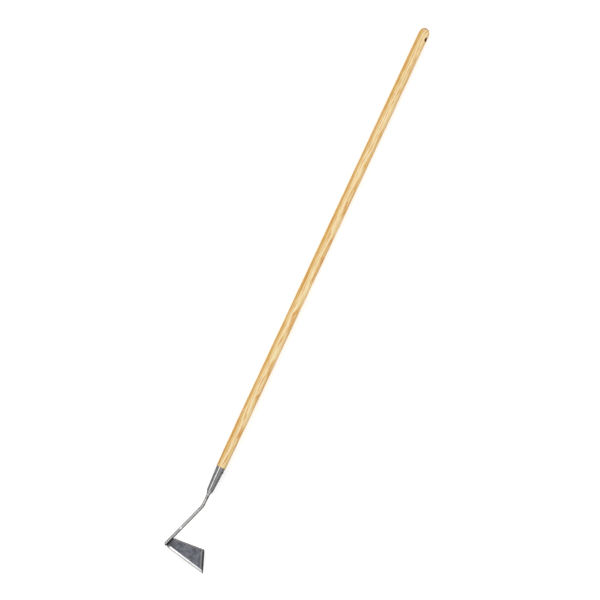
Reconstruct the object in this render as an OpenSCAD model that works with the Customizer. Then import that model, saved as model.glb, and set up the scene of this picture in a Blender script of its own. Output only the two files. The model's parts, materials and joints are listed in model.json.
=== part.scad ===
// Long handled three-edged hoe: a straight ash handle, a conical steel socket, a cranked round neck
// and a blade that is ground on its front, far and rear edges.
// The tool lies on the floor as it rests by itself, on the rear edge of its blade and on the top end
// of its handle. X runs along the handle towards its top, Z is up, and the origin is on the floor,
// below the middle of the tool. All sizes are in millimetres.

/* [Handle] */
// Length of the handle from its shoulder to its rounded top
handle_len = 1395; // [1000:5:1700]
// Diameter of the straight part of the handle
handle_d = 31; // [28:0.5:38]
// Diameter of the handle at its shoulder
foot_d = 27.6; // [27:0.2:36]
// Length of the taper above the shoulder
foot_taper = 140; // [60:5:300]
// Rounding of the rim of the shoulder
foot_round = 1.4; // [0.4:0.2:3]
// Length of the rounded top
top_round = 23; // [14:1:30]
// Room between the end of the tenon and the end of the neck rod, inside the socket
tenon_room = 8; // [2:1:16]
// Chamfer at the end of the tenon
tenon_chamfer = 1.5; // [0.5:0.5:3]

/* [Hanging hole] */
// Diameter of the hanging hole
hole_d = 10; // [6:0.5:13]
// Distance of the hanging hole from the top of the handle
hole_down = 33; // [30:1:80]
// Chamfer round both mouths of the hanging hole
hole_chamfer = 2.2; // [0.5:0.1:3]
// Turn of the hanging hole about the handle, from straight up
hole_turn = 57; // [0:1:90]

/* [Socket] */
// Length of the long cone of the socket
socket_len = 75.5; // [62:0.5:100]
// Outer diameter of the socket at its mouth
mouth_d = 26.2; // [22:0.2:27]
// Outer diameter of the socket where the nose starts
toe_d = 19; // [14:0.2:20]
// Wall of the socket
socket_wall = 1.6; // [1:0.1:2.2]
// Length of the closing nose
nose_len = 10.5; // [6:0.5:16]
// Diameter of the flat end of the nose
nose_d = 11.8; // [11.6:0.2:14]
// Length of the hole in the nose that holds the neck
nose_seat = 4; // [2:0.5:5]
// Radial gap between the tenon and the socket
tenon_gap = 0.05; // [0:0.01:0.3]

/* [Rivet] */
// Diameter of the rivet's shank
rivet_d = 3.4; // [2.5:0.1:4.5]
// Diameter of the domed head
rivet_head_d = 6.6; // [5:0.2:9]
// Height of the domed head above the socket
rivet_head_h = 1.9; // [1:0.1:2.5]
// Height of the hammered tail above the socket
rivet_tail_h = 1.1; // [0.6:0.1:1.6]
// Distance of the rivet from the mouth of the socket
rivet_down = 13; // [8:0.5:25]
// Turn of the rivet about the handle, from straight up
rivet_turn = 60; // [0:1:90]
// Radial gap round the shank
rivet_gap = 0.05; // [0:0.01:0.2]

/* [Neck] */
// Diameter of the neck rod
rod_d = 9.5; // [8:0.1:10.5]
// Length of the rod inside the socket, from the end of the nose
rod_inside = 20; // [10:1:24]
// Distance from the mouth of the socket to the corner of the bend
rod_lead = 123.5; // [110:0.5:160]
// Length from the corner of the bend to the tip of the rod
arm_len = 155.5; // [100:0.5:220]
// Sideways bend of the neck
arm_turn = 19.5; // [5:0.5:35]
// Radius of the bend, at the middle of the rod
rod_bend_r = 50; // [25:1:90]
// Chamfer at the end of the rod inside the socket
rod_chamfer = 1.2; // [0.3:0.1:2]
// Slant of the cut at the tip of the rod, longer beside the blade
tip_slant = 17; // [0:1:30]
// Corner ground off the outer side of the tip, along the cut
tip_corner = 2.2; // [0.5:0.1:4]

/* [Blade] */
// Thickness of the blade
blade_t = 2.5; // [1.5:0.1:4]
// Angle between the blade and the floor as the tool lies
blade_tilt = 45; // [30:1:55]
// Skew of the rear edge from square to the handle
rear_skew = 4.5; // [0:0.5:12]
// Length of the rear edge
rear_len = 98; // [60:1:140]
// Width of the blade at the tab, square to the rear edge
neck_width = 32.5; // [24:0.5:45]
// Width of the blade at its far end, square to the rear edge
far_width = 75.5; // [40:0.5:90]
// How much further out the front far corner is than the rear far corner
far_flare = 20.5; // [0:0.5:35]
// Width of the ground bevels
bevel_w = 6.5; // [1:0.1:9]
// Thickness left at the ground edges
edge_land = 0.5; // [0.4:0.1:1.2]
// Inner radius of the bend between blade and tab
tab_bend_r = 3.5; // [2:0.1:5]
// Distance of the blade's front corner past the tip of the rod
corner_past = 2; // [0:0.5:5]
// Height of the rod's axis above the front corner of the blade
rod_over = 5; // [4:0.5:12]
// Height of the tab's top edge above the rod's axis
tab_rise = 0.8; // [0:0.1:2]

/* [Welds] */
// Radius of the drops of the weld above the rod
bead_top_r = 2.5; // [1.5:0.1:3]
// Radius of the drops of the weld below the rod
bead_under_r = 2.1; // [1.5:0.1:3]
// Distance from one drop of a weld to the next
bead_step = 2.3; // [1.5:0.1:3]
// Length of the weld between the nose and the rod
neck_weld_len = 3.5; // [2:0.5:8]

/* [Hidden] */
$fn = 96;

ash = [0.90, 0.75, 0.50];
steel = [0.74, 0.75, 0.77];
rivet_steel = [0.35, 0.35, 0.36];
weld_steel = [0.45, 0.44, 0.43];

handle_r = handle_d / 2;
rod_r = rod_d / 2;
over = 0.5;          // how far a cutting shape reaches past the face that it cuts
reach = 400;         // longer than any part of the head

// Socket: radii of its bore
mouth_bore_r = mouth_d / 2 - socket_wall;
toe_bore_r = toe_d / 2 - socket_wall;
socket_end = socket_len + nose_len;
tenon_len = socket_end - rod_inside - tenon_room;

// Outer and inner radius of the socket at a distance from its mouth
function socket_r(down) = mouth_d / 2 + (toe_d - mouth_d) / 2 * down / socket_len;
function bore_r(down) = mouth_bore_r + (toe_bore_r - mouth_bore_r) * down / socket_len;

// Turns of a point about the Z and Y axes
function turn_z(p, a) = [p.x * cos(a) - p.y * sin(a), p.x * sin(a) + p.y * cos(a), p.z];
function turn_y(p, a) = [p.x * cos(a) + p.z * sin(a), p.y, p.z * cos(a) - p.x * sin(a)];

// Blade frame: X forward in the blade, away from the handle; Y out along the rear edge; Z out of the
// top face. Its origin is the rear corner where the outside of the tab meets the underside.
swing = arm_turn + rear_skew;                          // from the rod to square on the rear edge
fold_turn = atan(cos(blade_tilt) * tan(swing));        // from square on the rear edge to the fold
tab_lean = asin(sin(blade_tilt) * sin(swing));         // lean of the tab over the blade
neck_corner = [neck_width, -neck_width * tan(fold_turn), 0];
far_rear = [0, rear_len, 0];
far_front = [far_width, rear_len + far_flare, 0];

// Arm frame: X along the bent rod towards its tip, Y towards the blade, Z up. The rod lies against
// the outside of the tab.
function turn_blade(p) = turn_z(turn_y(p, -blade_tilt), swing);
blade_at = [arm_len + corner_past, rod_r, -rod_over] - turn_blade(neck_corner);
function blade_to_arm(p) = blade_at + turn_blade(p);
function arm_to_tool(p) = [-rod_lead, 0, 0] + turn_z(p, 180 - arm_turn);

// Tip of the rod in the arm frame: the slanted cut passes through the rod's axis at arm_len
function tip_x(side) = arm_len + side * tan(tip_slant);
tip_shoulder = [tip_x(-rod_r) - tip_corner, -rod_r];   // where the ground-off corner starts
tip_nick = [tip_x(tip_corner - rod_r), tip_corner - rod_r];

// Resting pose: the tool is pitched about Y until the rear edge of the blade and the lower end of
// the rounded top are both on the floor
rest_rear = arm_to_tool(blade_to_arm(far_rear));
rest_top = [handle_len - top_round, 0, -handle_r];
pitch = atan((rest_top.z - rest_rear.z) / (rest_top.x - rest_rear.x));
top_laid = turn_y([handle_len, 0, 0], pitch);
rear_laid = turn_y(rest_rear, pitch);
far_laid = turn_y(arm_to_tool(blade_to_arm(far_front)), pitch);
tip_laid = turn_y(arm_to_tool([tip_shoulder.x, tip_shoulder.y, 0]), pitch);
x_low = min(far_laid.x, tip_laid.x);
side_low = min(far_laid.y, rear_laid.y, -handle_r);
side_high = max(tip_laid.y, handle_r);
origin = [(top_laid.x + x_low) / 2, (side_low + side_high) / 2, rear_laid.z];

module laid() {
    translate(-origin) rotate([0, pitch, 0]) children();
}

module on_arm() {
    laid() translate([-rod_lead, 0, 0]) rotate([0, 0, 180 - arm_turn]) children();
}

module on_blade() {
    translate(blade_at) rotate([0, 0, swing]) rotate([0, -blade_tilt, 0]) children();
}

// Carries a profile of points [radius, distance along X] round the X axis
module turned(profile) {
    rotate([0, 90, 0]) rotate_extrude() polygon(profile);
}

// The handle is one turned profile: tenon, shoulder, taper, straight part and rounded top
top_steps = 14;
top_power = 3;       // blunter than an ellipse, as a sanded end is
function top_r(s) = handle_r * sqrt(1 - pow(1 - s, top_power));
round_steps = 4;

module handle_body() {
    tenon_tip_r = bore_r(tenon_len) - tenon_gap;
    tenon_root_r = mouth_bore_r - tenon_gap;
    foot_r = foot_d / 2;
    rim = [for (i = [0:round_steps])
        let (a = 90 * i / round_steps)
        [foot_r - foot_round * (1 - sin(a)), foot_round * (1 - cos(a))]];
    crown = [for (i = [top_steps:-1:1])
        let (s = 1 - cos(90 * i / top_steps))
        [top_r(s), handle_len - top_round * s]];
    turned(concat(
        [[0, -tenon_len], [tenon_tip_r - tenon_chamfer, -tenon_len],
         [tenon_tip_r, -tenon_len + tenon_chamfer], [tenon_root_r, 0]],
        rim,
        [[handle_r, foot_taper]],
        crown,
        [[0, handle_len]]));
}

module hanging_hole() {
    mouth_r = hole_d / 2 + hole_chamfer;
    translate([handle_len - hole_down, 0, 0]) rotate([hole_turn, 0, 0]) {
        cylinder(h = handle_d + 2 * over, r = hole_d / 2, center = true);
        for (side = [0, 180])
            rotate([side, 0, 0]) translate([0, 0, handle_r - hole_chamfer])
                cylinder(h = 2 * hole_chamfer, r1 = hole_d / 2, r2 = mouth_r + hole_chamfer);
    }
}

module rivet_hole() {
    at_rivet() cylinder(h = 2 * mouth_d, r = rivet_d / 2 + rivet_gap, center = true);
}

module handle() {
    color(ash) laid() difference() {
        handle_body();
        hanging_hole();
        rivet_hole();
    }
}

// The socket is a cone of sheet steel with its end drawn in to the neck
module socket_outside() {
    turned([[0, -socket_end], [nose_d / 2, -socket_end], [toe_d / 2, -socket_len], [mouth_d / 2, 0],
            [0, 0]]);
}

module socket() {
    color(steel) laid() difference() {
        turned([[rod_r, -socket_end], [nose_d / 2, -socket_end], [toe_d / 2, -socket_len],
                [mouth_d / 2, 0], [mouth_bore_r, 0], [toe_bore_r, -socket_len],
                [rod_r, -socket_end + nose_seat]]);
        rivet_hole();
    }
}

// A domed end of the rivet: the cap of a ball, on a skirt that reaches down to the round socket
rivet_seat = socket_r(rivet_down);
rivet_skirt = 1;

module rivet_dome(width, height) {
    ball_r = (width * width / 4 + height * height) / (2 * height);
    translate([0, 0, rivet_seat]) {
        intersection() {
            translate([0, 0, height - ball_r]) sphere(r = ball_r);
            cylinder(h = 2 * height, r = width);
        }
        translate([0, 0, -rivet_skirt]) cylinder(h = rivet_skirt, r = width / 2);
    }
}

module at_rivet() {
    translate([-rivet_down, 0, 0]) rotate([rivet_turn, 0, 0]) children();
}

module socket_rivet() {
    color(rivet_steel) laid() {
        at_rivet() cylinder(h = 2 * rivet_seat + rivet_tail_h, r = rivet_d / 2, center = true);
        difference() {
            at_rivet() {
                rivet_dome(rivet_head_d, rivet_head_h);
                rotate([180, 0, 0]) rivet_dome(rivet_head_d, rivet_tail_h);
            }
            socket_outside();
        }
    }
}

// Rod and sheet are drawn in a little where they are bent, and their straights run into the bend
bend_draw = 0.03;
bend_lap = 0.4;

// The neck is one bent rod: a short straight, the bend, and the arm that carries the blade
bend_cut = rod_bend_r * tan(arm_turn / 2);             // from the corner of the bend to its end

lead = rod_lead - bend_cut - socket_end + rod_inside;  // straight part before the bend

module lead_rod() {
    rotate([0, 90, 0]) {
        translate([0, 0, -bend_lap]) cylinder(h = bend_lap + lead - rod_chamfer, r = rod_r);
        translate([0, 0, lead - rod_chamfer])
            cylinder(h = rod_chamfer, r1 = rod_r, r2 = rod_r - rod_chamfer);
    }
}

// The arm is cut to the shape of its tip, seen from above
module arm_rod() {
    wide = rod_r + over;
    past = (tip_shoulder - tip_nick) * over / tip_corner;
    intersection() {
        translate([bend_cut - bend_lap, 0, 0]) rotate([0, 90, 0])
            cylinder(h = arm_len + rod_d - bend_cut, r = rod_r);
        translate([0, 0, -wide]) linear_extrude(height = 2 * wide)
            polygon([[0, wide], [0, -wide], tip_shoulder + past, tip_nick, [tip_x(wide), wide]]);
    }
}

module neck_rod() {
    color(steel) laid() translate([-rod_lead, 0, 0]) {
        translate([bend_cut, 0, 0]) lead_rod();
        translate([bend_cut, rod_bend_r, 0]) rotate([0, 0, 270 - arm_turn])
            rotate_extrude(angle = arm_turn)
                translate([rod_bend_r, 0]) circle(r = rod_r - bend_draw);
        rotate([0, 0, 180 - arm_turn]) arm_rod();
    }
}

// Weld round the rod where it leaves the nose: a quarter of an oval, turned about the rod
weld_steps = 6;

module neck_weld() {
    color(weld_steel) laid()
        turned(concat([[rod_r, -socket_end]],
            [for (i = [0:weld_steps])
                let (a = 90 * i / weld_steps)
                [rod_r + (nose_d / 2 - rod_r) * cos(a), -socket_end - neck_weld_len * sin(a)]]));
}

// Blade: sheet steel folded along the line of the rod, with the fold's inner and outer radius
fold_out_r = tab_bend_r + blade_t;
fold_cut = fold_out_r / tan((90 - tab_lean) / 2);      // from the sharp corner to the end of the bend

module sheet_section(out) {
    translate([fold_cut - bend_lap, 0]) square([out - fold_cut + bend_lap, blade_t]);
    rotate(-tab_lean) translate([0, fold_cut - bend_lap]) square([blade_t, reach]);
    translate([fold_cut, fold_out_r]) intersection() {
        difference() {
            circle(r = fold_out_r - bend_draw);
            circle(r = tab_bend_r + bend_draw);
        }
        polygon([[0, 0], [-2 * fold_out_r, 2 * fold_out_r * tan(tab_lean)],
                 [-2 * fold_out_r, -2 * fold_out_r], [0, -2 * fold_out_r]]);
    }
}

module folded_sheet() {
    rotate([0, 0, -fold_turn]) translate([-reach / 2, 0, 0])
        rotate([90, 0, 90]) linear_extrude(height = reach) sheet_section(reach);
}

// Outline of the blade, carried on past the fold so that it also cuts the front of the tab
module blade_outline() {
    along = neck_corner - far_front;
    past = neck_corner + along * 30 / norm(along);
    polygon([[0, -reach], [0, rear_len], [far_front.x, far_front.y],
             [past.x, past.y], [past.x, -reach]]);
}

// Wedge that grinds a bevel on the top face along the line from one corner to the next. The blade
// lies to the left of that line, and the wedge runs past each corner by the stated length.
module bevel_cut(from, to, before, after) {
    along = to - from;
    slope = (blade_t - edge_land) / bevel_w;
    translate(from) rotate([0, 0, atan2(along.y, along.x)])
        translate([-before, 0, 0]) rotate([90, 0, 90])
            linear_extrude(height = before + norm(along) + after)
                polygon([[-over, edge_land - over * slope],
                         [bevel_w + over, blade_t + over * slope],
                         [-over, blade_t + over * slope]]);
}

bevel_past = 20;                                       // past the sharp far corners
bevel_short = -fold_cut - 1;                           // short of the fold

module ground_sheet() {
    difference() {
        intersection() {
            folded_sheet();
            linear_extrude(height = reach) blade_outline();
        }
        bevel_cut(neck_corner, far_front, bevel_short, bevel_past);
        bevel_cut(far_front, far_rear, bevel_past, bevel_past);
        bevel_cut(far_rear, [0, 0, 0], bevel_past, bevel_short);
    }
}

// The tab is trimmed along the rod and square to it
module blade_body() {
    difference() {
        on_blade() ground_sheet();
        translate([0, rod_r - over, 0]) {
            translate([-reach, 0, tab_rise]) cube([2 * reach, blade_t + 2 * over, reach]);
            translate([blade_at.x - reach, 0, -reach]) cube([reach, blade_t + 2 * over, 2 * reach]);
        }
    }
}

module blade() {
    color(steel) on_arm() blade_body();
}

// Welds along the tab, one above the rod and one below: rows of drops that fill the grooves
// between the round rod and the flat tab
tab_rear = blade_at.x;
tab_front = arm_len + corner_past - (rod_over + tab_rise) * tan(blade_tilt);
bead_out = 0.4;      // distance of a lower drop's middle from rod and tab, as a share of its radius
bead_up = 0.25;      // height of an upper drop's middle above the tab, as a share of its radius
bead_inset = 0.2;    // from the inner face of the tab to the side of an upper drop
top_y = rod_r + blade_t - bead_top_r - bead_inset;
top_z = tab_rise + bead_up * bead_top_r;
under_y = rod_r - bead_out * bead_under_r;
under_z = -sqrt(pow(rod_r + bead_out * bead_under_r, 2) - under_y * under_y);

module tab_weld(drop_r, side, height) {
    first = tab_rear + drop_r / 2;
    count = floor((tab_front - drop_r / 2 - first) / bead_step);
    color(weld_steel) on_arm() difference() {
        for (i = [0:count])
            translate([first + i * bead_step, side, height]) sphere(r = drop_r);
        rotate([0, 90, 0]) cylinder(h = arm_len, r = rod_r);
        blade_body();
    }
}

module tab_weld_top() {
    tab_weld(bead_top_r, top_y, top_z);
}

module tab_weld_under() {
    tab_weld(bead_under_r, under_y, under_z);
}

handle();
socket();
socket_rivet();
neck_rod();
neck_weld();
blade();
tab_weld_top();
tab_weld_under();
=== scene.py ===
"""Looks of a long handled three-edged hoe that lies on a studio floor.

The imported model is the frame. Each piece of the hoe is built here as a surface of its own, at the
place of the node that it stands for, and gets the finish of the real material. Sizes of the hoe are
millimetres and angles are degrees, as on a workshop drawing. A Placing turns them into metres in
the frame. Sizes of the studio are metres.
"""

import json
import logging
import math
from dataclasses import dataclass, field
from enum import Enum

import bmesh
import bpy
import numpy as np
from mathutils import Matrix


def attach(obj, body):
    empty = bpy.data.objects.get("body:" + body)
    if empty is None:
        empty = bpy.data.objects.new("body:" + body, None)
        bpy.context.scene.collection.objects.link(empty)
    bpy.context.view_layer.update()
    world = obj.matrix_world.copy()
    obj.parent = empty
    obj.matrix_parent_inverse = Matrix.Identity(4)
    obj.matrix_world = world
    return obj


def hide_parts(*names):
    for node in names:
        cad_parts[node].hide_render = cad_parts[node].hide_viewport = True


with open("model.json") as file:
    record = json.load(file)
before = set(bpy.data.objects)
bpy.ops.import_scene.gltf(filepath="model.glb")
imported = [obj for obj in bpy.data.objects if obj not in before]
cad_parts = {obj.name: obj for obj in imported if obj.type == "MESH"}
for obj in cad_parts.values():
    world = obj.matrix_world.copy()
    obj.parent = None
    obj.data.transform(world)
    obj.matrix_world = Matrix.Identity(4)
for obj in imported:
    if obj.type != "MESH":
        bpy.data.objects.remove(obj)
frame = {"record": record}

LOG = logging.getLogger("hoe")
BODY = "root"
MM = 0.001                    # metres in a millimetre
WELD_GAP = 1e-6               # metres: points closer than this become one


# Directions, lines and placings

def unit(vector: np.ndarray) -> np.ndarray:
    """Returns the vector at length one."""
    vector = np.asarray(vector, float)
    return vector / np.linalg.norm(vector)


def sin(angle: float) -> float:
    """Sine of an angle in degrees."""
    return math.sin(math.radians(angle))


def cos(angle: float) -> float:
    """Cosine of an angle in degrees."""
    return math.cos(math.radians(angle))


def smooth(value: np.ndarray) -> np.ndarray:
    """Eases from 0 to 1 as the value does: three times its square less twice its cube."""
    value = np.clip(value, 0.0, 1.0)
    return value * value * (3 - 2 * value)


@dataclass(frozen=True)
class Placing:
    """A place in the frame and the directions of its own axes.

    Attributes:
        origin: the place in metres.
        axes: three rows, the directions of the local X, Y and Z axes in the frame.
    """

    origin: np.ndarray
    axes: np.ndarray

    def points(self, local: np.ndarray) -> np.ndarray:
        """Turns local points in millimetres into points of the frame in metres.

        Args:
            local: array whose last axis holds x, y and z.

        Returns:
            An array of the same shape: the origin plus each local size times its axis.
        """
        return self.origin + (np.asarray(local, float) * MM) @ self.axes

    def moved(self, local: np.ndarray) -> "Placing":
        """Returns the same axes at another local point."""
        return Placing(self.points(local), self.axes)

    def turned_z(self, angle: float) -> "Placing":
        """Returns this placing turned about its own Z axis."""
        turn = np.array([[cos(angle), sin(angle), 0], [-sin(angle), cos(angle), 0], [0, 0, 1]])
        return Placing(self.origin, turn @ self.axes)

    def turned_y(self, angle: float) -> "Placing":
        """Returns this placing turned about its own Y axis."""
        turn = np.array([[cos(angle), 0, -sin(angle)], [0, 1, 0], [sin(angle), 0, cos(angle)]])
        return Placing(self.origin, turn @ self.axes)

    def turned_x(self, angle: float) -> "Placing":
        """Returns this placing turned about its own X axis."""
        turn = np.array([[1, 0, 0], [0, cos(angle), sin(angle)], [0, -sin(angle), cos(angle)]])
        return Placing(self.origin, turn @ self.axes)


@dataclass(frozen=True)
class Line:
    """A line in a plane: the points whose dot product with the normal is the offset.

    Attributes:
        normal: two numbers of length one, pointing to the side that counts as positive.
        offset: distance of the line from the plane's origin along the normal.
    """

    normal: np.ndarray
    offset: float

    @staticmethod
    def through(start: np.ndarray, end: np.ndarray) -> "Line":
        """Returns the line through two points, positive to the left on the way to the end."""
        way = unit(np.asarray(end, float)[:2] - np.asarray(start, float)[:2])
        normal = np.array([-way[1], way[0]])
        return Line(normal, float(normal @ np.asarray(start, float)[:2]))

    def inside(self, distance: float) -> "Line":
        """Returns the parallel line at a distance on the positive side."""
        return Line(self.normal, self.offset + distance)

    def distance(self, points: np.ndarray) -> np.ndarray:
        """Returns the signed distance of points from the line."""
        return points[..., :2] @ self.normal - self.offset

    def crossing(self, other: "Line") -> np.ndarray:
        """Returns the point that lies on both lines."""
        return np.linalg.solve(np.array([self.normal, other.normal]), [self.offset, other.offset])


def steps(*stretches: tuple[float, float, int]) -> np.ndarray:
    """Chains evenly spaced stretches into one rising or falling row of values.

    Args:
        stretches: first value, last value and number of gaps of each stretch, where each stretch
            starts at the value that the one before it ends at.

    Returns:
        All values, with each shared end given once.
    """
    values = [np.linspace(first, last, gaps + 1)[1:] for first, last, gaps in stretches]
    return np.concatenate([[stretches[0][0]], *values])


def eased_profile(corners: list[tuple[float, float, float]], count: int = 5) -> np.ndarray:
    """Rounds the corners of a profile.

    Each corner with an ease is replaced by the quadratic curve that leaves the first side at that
    distance before the corner, and meets the second side at the same distance after it.

    Args:
        corners: distance along the axis, radius, and ease of each corner; the ends have no ease.
        count: points on each curve.

    Returns:
        Rows of distance and radius.
    """
    places = np.array([corner[:2] for corner in corners], float)
    rows = [places[:1]]
    eases = [corner[2] for corner in corners[1:-1]]
    for before, here, after, ease in zip(places, places[1:], places[2:], eases):
        if ease == 0:
            rows.append(here[None])
            continue
        start = here + unit(before - here) * ease
        end = here + unit(after - here) * ease
        t = np.linspace(0, 1, count)[:, None]
        rows.append((1 - t) ** 2 * start + 2 * t * (1 - t) * here + t ** 2 * end)
    rows.append(places[-1:])
    return np.concatenate(rows)


def turns(columns: int) -> np.ndarray:
    """Returns evenly spaced angles of one whole turn, in radians."""
    return np.linspace(0, 2 * math.pi, columns, endpoint=False)


def around(profile: np.ndarray, columns: int, shift: float = 0.0) -> np.ndarray:
    """Carries a profile round the local X axis.

    Args:
        profile: rows of distance along X and radius.
        columns: points round each ring.
        shift: angle of the first column in radians.

    Returns:
        Rings of local points: (x, r cos a, r sin a) for even angles a.
    """
    angle = turns(columns) + shift
    x = np.repeat(profile[:, :1], columns, axis=1)
    return np.stack([x, profile[:, 1:2] * np.cos(angle), profile[:, 1:2] * np.sin(angle)], axis=-1)


def divided(profile: np.ndarray, longest: float) -> np.ndarray:
    """Adds points to a profile so that no side is longer than the given length.

    Args:
        profile: rows of distance and radius.
        longest: the longest side that may stay.

    Returns:
        The same profile with more rows.
    """
    rows = [profile[:1]]
    for start, end in zip(profile, profile[1:]):
        count = max(1, math.ceil(float(np.linalg.norm(end - start)) / longest))
        rows.append(start + (end - start) * steps((0, 1, count))[1:, None])
    return np.concatenate(rows)


def profile_radius(profile: np.ndarray, x: np.ndarray) -> np.ndarray:
    """Reads a profile's radius at distances along the axis, straight between its points."""
    return np.interp(x, profile[:, 0], profile[:, 1])


# Meshes

@dataclass
class Grid:
    """Rows and columns of points that make a stretch of surface.

    Attributes:
        points: rows by columns by three, in metres in the frame.
        wrap: whether the last column joins the first.
        keep: rows by columns, which faces are made, or None for all of them.
        marks: values under each mark's name, which the finishes read, one for each point or of a
            shape that spreads over the points.
    """

    points: np.ndarray
    wrap: bool = True
    keep: np.ndarray | None = None
    marks: dict[str, np.ndarray] = field(default_factory=dict)

    def faces(self) -> np.ndarray:
        """Works out the faces between neighbouring points.

        Returns:
            The four corners of each face, as places in the flattened points.
        """
        rows, columns = self.points.shape[:2]
        number = np.arange(rows * columns).reshape(rows, columns)
        after = np.roll(number, -1, axis=1)
        if not self.wrap:
            number, after = number[:, :-1], after[:, :-1]
        quads = np.stack([number[:-1], after[:-1], after[1:], number[1:]], axis=-1)
        return quads[self.keep] if self.keep is not None else quads.reshape(-1, 4)


def put(name: str, data: bpy.types.ID) -> bpy.types.Object:
    """Makes an object of this data and links it to the scene."""
    made = bpy.data.objects.new(name, data)
    bpy.context.scene.collection.objects.link(made)
    return made


def make_piece(name: str, grids: list[Grid], sharp: float = 35.0) -> bpy.types.Object:
    """Joins grids into one closed mesh and links its object to the scene.

    Points that coincide become one, which closes the poles and the seams between grids, and the
    faces are turned outwards.

    Args:
        name: the piece's name.
        grids: the stretches of its surface.
        sharp: edges that turn by more than this many degrees stay sharp.

    Returns:
        The object, at the frame's origin.
    """
    marks = sorted({mark for grid in grids for mark in grid.marks})
    points, faces, values, count = [], [], {mark: [] for mark in marks}, 0
    for grid in grids:
        flat = grid.points.reshape(-1, 3)
        points.append(flat)
        faces.append(grid.faces() + count)
        for mark in marks:
            value = grid.marks.get(mark, 0.0)
            values[mark].append(np.broadcast_to(value, grid.points.shape[:2]).ravel())
        count += len(flat)
    mesh = bpy.data.meshes.new(name)
    mesh.from_pydata(np.concatenate(points), [], np.concatenate(faces).tolist())
    for mark in marks:
        attribute = mesh.attributes.new(mark, "FLOAT", "POINT")
        attribute.data.foreach_set("value", np.concatenate(values[mark]).astype(np.float32))
    work = bmesh.new()
    work.from_mesh(mesh)
    bmesh.ops.remove_doubles(work, verts=work.verts, dist=WELD_GAP)
    bmesh.ops.recalc_face_normals(work, faces=work.faces)
    work.to_mesh(mesh)
    work.free()
    mesh.shade_smooth()
    mesh.set_sharp_from_angle(angle=math.radians(sharp))
    return put(name, mesh)


def soften(piece: bpy.types.Object, width: float, angle: float) -> None:
    """Rounds a piece's hard edges a little.

    Args:
        piece: the piece.
        width: width of the rounding in millimetres.
        angle: edges that turn by more than this many degrees are rounded.
    """
    rounding = piece.modifiers.new("eased edges", "BEVEL")
    rounding.width = width * MM
    rounding.segments = 3
    rounding.limit_method = "ANGLE"
    rounding.angle_limit = math.radians(angle)
    rounding.harden_normals = True


def hand_over(piece: bpy.types.Object, node: str) -> None:
    """Says which node the piece stands for and what it rides on, and logs it.

    Args:
        piece: the piece.
        node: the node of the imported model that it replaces.
    """
    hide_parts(node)
    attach(piece, BODY)
    LOG.info("%s: %d points for node %s", piece.name, len(piece.data.vertices), node)


# Finishes

class Mark(Enum):
    """Names of the values that a piece's points carry for its finish."""

    END_GRAIN = "end_grain"
    DRILLED_AND_SHADED = "drilled"
    GROUND_AND_HIGHLIGHT = "ground"
    EDGE = "edge"
    HEAT_TINT_AND_SHADE = "heat_tint"
    POLISHED = "polished"
    HIGHLIGHT_LINE = "burnished"


def paint(code: str) -> tuple[float, float, float, float]:
    """Turns an sRGB hex colour into the linear colour that a shader takes, by the sRGB curve.

    Args:
        code: six hex digits after a hash sign.

    Returns:
        Red, green, blue and one.
    """
    values = [int(code[i:i + 2], 16) / 255 for i in (1, 3, 5)]
    linear = [v / 12.92 if v <= 0.04045 else ((v + 0.055) / 1.055) ** 2.4 for v in values]
    return (*linear, 1.0)


def grey(value: float) -> tuple[float, float, float, float]:
    """Returns a linear grey."""
    return (value, value, value, 1.0)


def new_material(name: str) -> tuple[bpy.types.Material, bpy.types.NodeTree, bpy.types.Node]:
    """Makes a material, and returns it with its node tree and its shader."""
    made = bpy.data.materials.new(name)
    made.use_nodes = True
    return made, made.node_tree, made.node_tree.nodes["Principled BSDF"]


def add(tree: bpy.types.NodeTree, kind: str, links: dict | None = None,
        stops: list[tuple[float, tuple]] | None = None, **settings) -> bpy.types.Node:
    """Adds a node with its settings and links.

    Args:
        tree: the tree that it goes in.
        kind: the node's type, without the ShaderNode in front.
        links: input name or number, to the socket that feeds it or the value that it takes.
        stops: a colour ramp's stops in rising order, each a place from 0 to 1 and a colour.
        settings: properties of the node.

    Returns:
        The node.
    """
    node = tree.nodes.new("ShaderNode" + kind)
    for name, value in settings.items():
        setattr(node, name, value)
    for name, value in (links or {}).items():
        if isinstance(value, bpy.types.NodeSocket):
            tree.links.new(value, node.inputs[name])
        else:
            node.inputs[name].default_value = value
    if stops:
        elements = node.color_ramp.elements
        while len(elements) < len(stops):
            elements.new(0.5)
        for element, (place, colour) in zip(elements, stops):
            element.position, element.color = place, colour
    return node


def stretched(tree: bpy.types.NodeTree, feed: bpy.types.NodeSocket, size: tuple[float, float],
              detail: float) -> bpy.types.NodeSocket:
    """Draws a noise whose spots are long along the local X axis.

    Args:
        tree: the tree that it goes in.
        feed: the coordinates.
        size: length and width of the spots in millimetres.
        detail: how many finer layers the noise has.

    Returns:
        The noise from 0 to 1.
    """
    scale = (1 / (size[0] * MM), 1 / (size[1] * MM), 1 / (size[1] * MM))
    long = add(tree, "Mapping", {"Vector": feed, "Scale": scale}).outputs[0]
    return add(tree, "TexNoise", {"Vector": long, "Scale": 1.0, "Detail": detail}).outputs["Fac"]


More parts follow.
